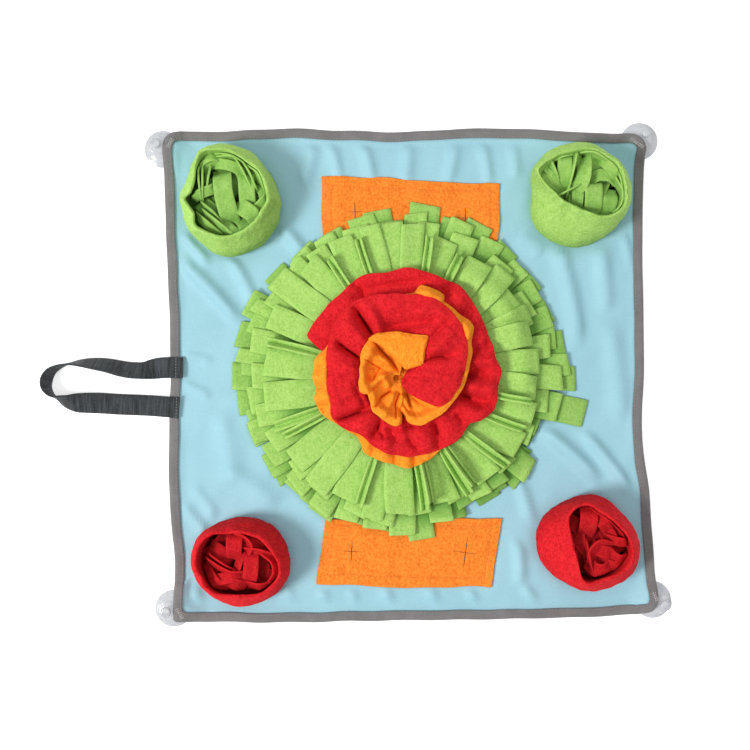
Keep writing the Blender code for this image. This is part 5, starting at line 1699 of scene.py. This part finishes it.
def build_stage():
    mesh = bpy.data.meshes.new("floor")
    ends = (-FLOOR_HALF, FLOOR_HALF)
    mesh.from_pydata([(x, y, 0) for x in ends for y in ends], [], [(0, 2, 3, 1)])
    floor = shown("floor", mesh)
    floor.location.z = FLOOR_DROP
    pale = Finish("pale_floor")
    pale.set(Base_Color=(0.97, 0.97, 0.97, 1.0), Roughness=0.9, Specular_IOR_Level=0.1,
             Emission_Color=(1.0, 1.0, 1.0, 1.0), Emission_Strength=0.45)
    mesh.materials.append(pale.material)
    for name, spot, size, power in LIGHTS:
        light = bpy.data.lights.new(name, "AREA")
        light.shape, light.size, light.energy = "SQUARE", size, power
        lamp = shown(name, light)
        lamp.location = spot
        lamp.rotation_euler = (-Vector(spot)).to_track_quat("-Z", "Y").to_euler()
    world = bpy.data.worlds.new("soft_room")
    world.use_nodes = True
    air = world.node_tree.nodes["Background"].inputs
    air["Color"].default_value, air["Strength"].default_value = ROOM_LIGHT
    scene = bpy.context.scene
    scene.world = world
    scene.view_settings.view_transform = "Standard"
    data = bpy.data.cameras.new("camera")
    data.sensor_width, data.lens = 36.0, LENS
    scene.camera = shown("camera", data)
    scene.camera.location = CAMERA_PLACE


# ---- add-on


def length(name, description, default):
    return FloatProperty(name=name, description=description, default=default, min=0.0, unit="LENGTH",
                         subtype="DISTANCE")


def colour(name, description, default):
    return FloatVectorProperty(name=name, description=description, default=default, size=3, min=0.0, max=1.0,
                               subtype="COLOR")


class MatSizes(bpy.types.PropertyGroup):
    cloth: length("Cloth", "Thickness of the blue cloth", 0.0011)


class ThreadSizes(bpy.types.PropertyGroup):
    pitch: length("Pitch", "Distance between two stitches of the tape", 0.0034)
    stitch: length("Stitch", "Length of one stitch that shows", 0.0024)
    thick: length("Thread", "Thickness of the thread", 0.0006)


class FringeSizes(bpy.types.PropertyGroup):
    fleece: length("Fleece", "Thickness of the fringe's fleece", 0.0019)
    seed: IntProperty(name="Seed", description="Another way for the strips to fall", default=4)


class RosetteSizes(bpy.types.PropertyGroup):
    fleece: length("Fleece", "Thickness of the rosette's fleece", 0.002)


class HandleSizes(bpy.types.PropertyGroup):
    width: length("Width", "Width of the webbing", 0.0195)
    thick: length("Thickness", "Thickness of the webbing", 0.0014)
    rib: length("Rib", "Distance between two ribs of the webbing", 0.0013)


class Colours(bpy.types.PropertyGroup):
    blue: colour("Blue", "Blue cloth", (0.355, 0.62, 0.70))
    blue_shade: colour("Blue shade", "Blue cloth where it is darker", (0.245, 0.475, 0.56))
    grey: colour("Tape", "Binding tape", (0.26, 0.25, 0.25))
    grey_shade: colour("Tape shade", "Binding tape where it is darker", (0.13, 0.12, 0.12))
    black: colour("Webbing", "Webbing", (0.066, 0.074, 0.079))
    black_shade: colour("Webbing shade", "Webbing between its ribs", (0.004, 0.006, 0.008))
    green: colour("Green", "Green fleece", (0.425, 0.67, 0.175))
    green_shade: colour("Green shade", "Green fleece where it is darker", (0.255, 0.485, 0.08))
    orange: colour("Orange", "Orange fleece", (1.0, 0.335, 0.030))
    orange_shade: colour("Orange shade", "Orange fleece where it is darker", (0.92, 0.215, 0.010))
    orange_felt: colour("Felt", "Orange felt", (0.97, 0.29, 0.04))
    orange_felt_shade: colour("Felt shade", "Orange felt where it is darker", (0.74, 0.14, 0.010))
    red: colour("Red", "Red fleece", (0.76, 0.021, 0.028))
    red_shade: colour("Red shade", "Red fleece where it is darker", (0.46, 0.004, 0.009))
    vinyl: colour("Vinyl", "Suction cups", (0.57, 0.58, 0.61))
    tape_thread: colour("Tape thread", "Thread on the tape", (0.30, 0.29, 0.28))
    tack_thread: colour("Tack thread", "Thread of the corner tacks", (0.66, 0.65, 0.63))
    patch_thread: colour("Patch thread", "Thread on the patches", (0.85, 0.22, 0.02))
    loop_thread: colour("Loop thread", "Thread on the webbing", (0.32, 0.34, 0.34))


class SnuffleMat(bpy.types.PropertyGroup):
    mat: PointerProperty(type=MatSizes, name="Mat", description="Sizes of the mat")
    thread: PointerProperty(type=ThreadSizes, name="Thread", description="Sizes of the stitches")
    fringe: PointerProperty(type=FringeSizes, name="Fringe", description="Sizes of the fringe")
    rosette: PointerProperty(type=RosetteSizes, name="Rosette", description="Sizes of the rosette")
    handle: PointerProperty(type=HandleSizes, name="Handle", description="Sizes of the webbing")
    colours: PointerProperty(type=Colours, name="Colours", description="Colours of the cloths and threads")


class MAT_OT_panel(bpy.types.Operator):
    """Lay the blue cloth out in its soft creases"""
    bl_idname = "snuffle_mat.panel"
    bl_label = "Blue cloth"

    def execute(self, context):
        build_panel(context.scene.snuffle_mat)
        return {"FINISHED"}


class MAT_OT_binding(bpy.types.Operator):
    """Fold the grey tape over the edge, stitch it and tack its corners"""
    bl_idname = "snuffle_mat.binding"
    bl_label = "Edge tape"

    def execute(self, context):
        build_binding(context.scene.snuffle_mat)
        return {"FINISHED"}


class MAT_OT_patches(bpy.types.Operator):
    """Sew on the two felt patches with their cross slits"""
    bl_idname = "snuffle_mat.patches"
    bl_label = "Felt patches"

    def execute(self, context):
        build_patches(context.scene.snuffle_mat)
        return {"FINISHED"}


class MAT_OT_fringe(bpy.types.Operator):
    """Lay the four rows of fringe, each strip resting on those below"""
    bl_idname = "snuffle_mat.fringe"
    bl_label = "Fringe"

    def execute(self, context):
        build_fringe(context.scene.snuffle_mat)
        return {"FINISHED"}


class MAT_OT_rosette(bpy.types.Operator):
    """Wind the orange and the red ruffled ribbons"""
    bl_idname = "snuffle_mat.rosette"
    bl_label = "Rosette"

    def execute(self, context):
        build_rosette(context.scene.snuffle_mat)
        return {"FINISHED"}


class MAT_OT_pots(bpy.types.Operator):
    """Roll the four fleece pots"""
    bl_idname = "snuffle_mat.pots"
    bl_label = "Pots"

    def execute(self, context):
        build_pots(context.scene.snuffle_mat)
        return {"FINISHED"}


class MAT_OT_fillings(bpy.types.Operator):
    """Stuff the pots with folded strips"""
    bl_idname = "snuffle_mat.fillings"
    bl_label = "Stuffing"

    def execute(self, context):
        build_fillings(context.scene.snuffle_mat)
        return {"FINISHED"}


class MAT_OT_handle(bpy.types.Operator):
    """Sew on the webbing loop"""
    bl_idname = "snuffle_mat.handle"
    bl_label = "Carry loop"

    def execute(self, context):
        build_handle(context.scene.snuffle_mat)
        return {"FINISHED"}


class MAT_OT_cups(bpy.types.Operator):
    """Mould the four clear suction cups"""
    bl_idname = "snuffle_mat.cups"
    bl_label = "Suction cups"

    def execute(self, context):
        build_cups(context.scene.snuffle_mat)
        return {"FINISHED"}


class MAT_OT_stage(bpy.types.Operator):
    """Set out the floor, the lights and the camera"""
    bl_idname = "snuffle_mat.stage"
    bl_label = "Stage"

    def execute(self, context):
        build_stage()
        return {"FINISHED"}


OPERATORS = (MAT_OT_panel, MAT_OT_binding, MAT_OT_patches, MAT_OT_fringe, MAT_OT_rosette, MAT_OT_pots,
             MAT_OT_fillings, MAT_OT_handle, MAT_OT_cups, MAT_OT_stage)


class MAT_PT_panel(bpy.types.Panel):
    """The pieces of the snuffle mat"""
    bl_idname = "MAT_PT_snuffle_mat"
    bl_label = "Snuffle mat"
    bl_space_type = "VIEW_3D"
    bl_region_type = "UI"
    bl_category = "Snuffle mat"

    def draw(self, context):
        for operator in OPERATORS:
            self.layout.operator(operator.bl_idname)


CLASSES = (MatSizes, ThreadSizes, FringeSizes, RosetteSizes, HandleSizes, Colours, SnuffleMat, *OPERATORS,
           MAT_PT_panel)


def register():
    for part in CLASSES:
        bpy.utils.register_class(part)
    bpy.types.Scene.snuffle_mat = PointerProperty(type=SnuffleMat)


def unregister():
    del bpy.types.Scene.snuffle_mat
    for part in reversed(CLASSES):
        bpy.utils.unregister_class(part)


def main():
    register()
    for operator in OPERATORS:
        group, name = operator.bl_idname.split(".")
        getattr(getattr(bpy.ops, group), name)()


if __name__ == "__main__":
    main()
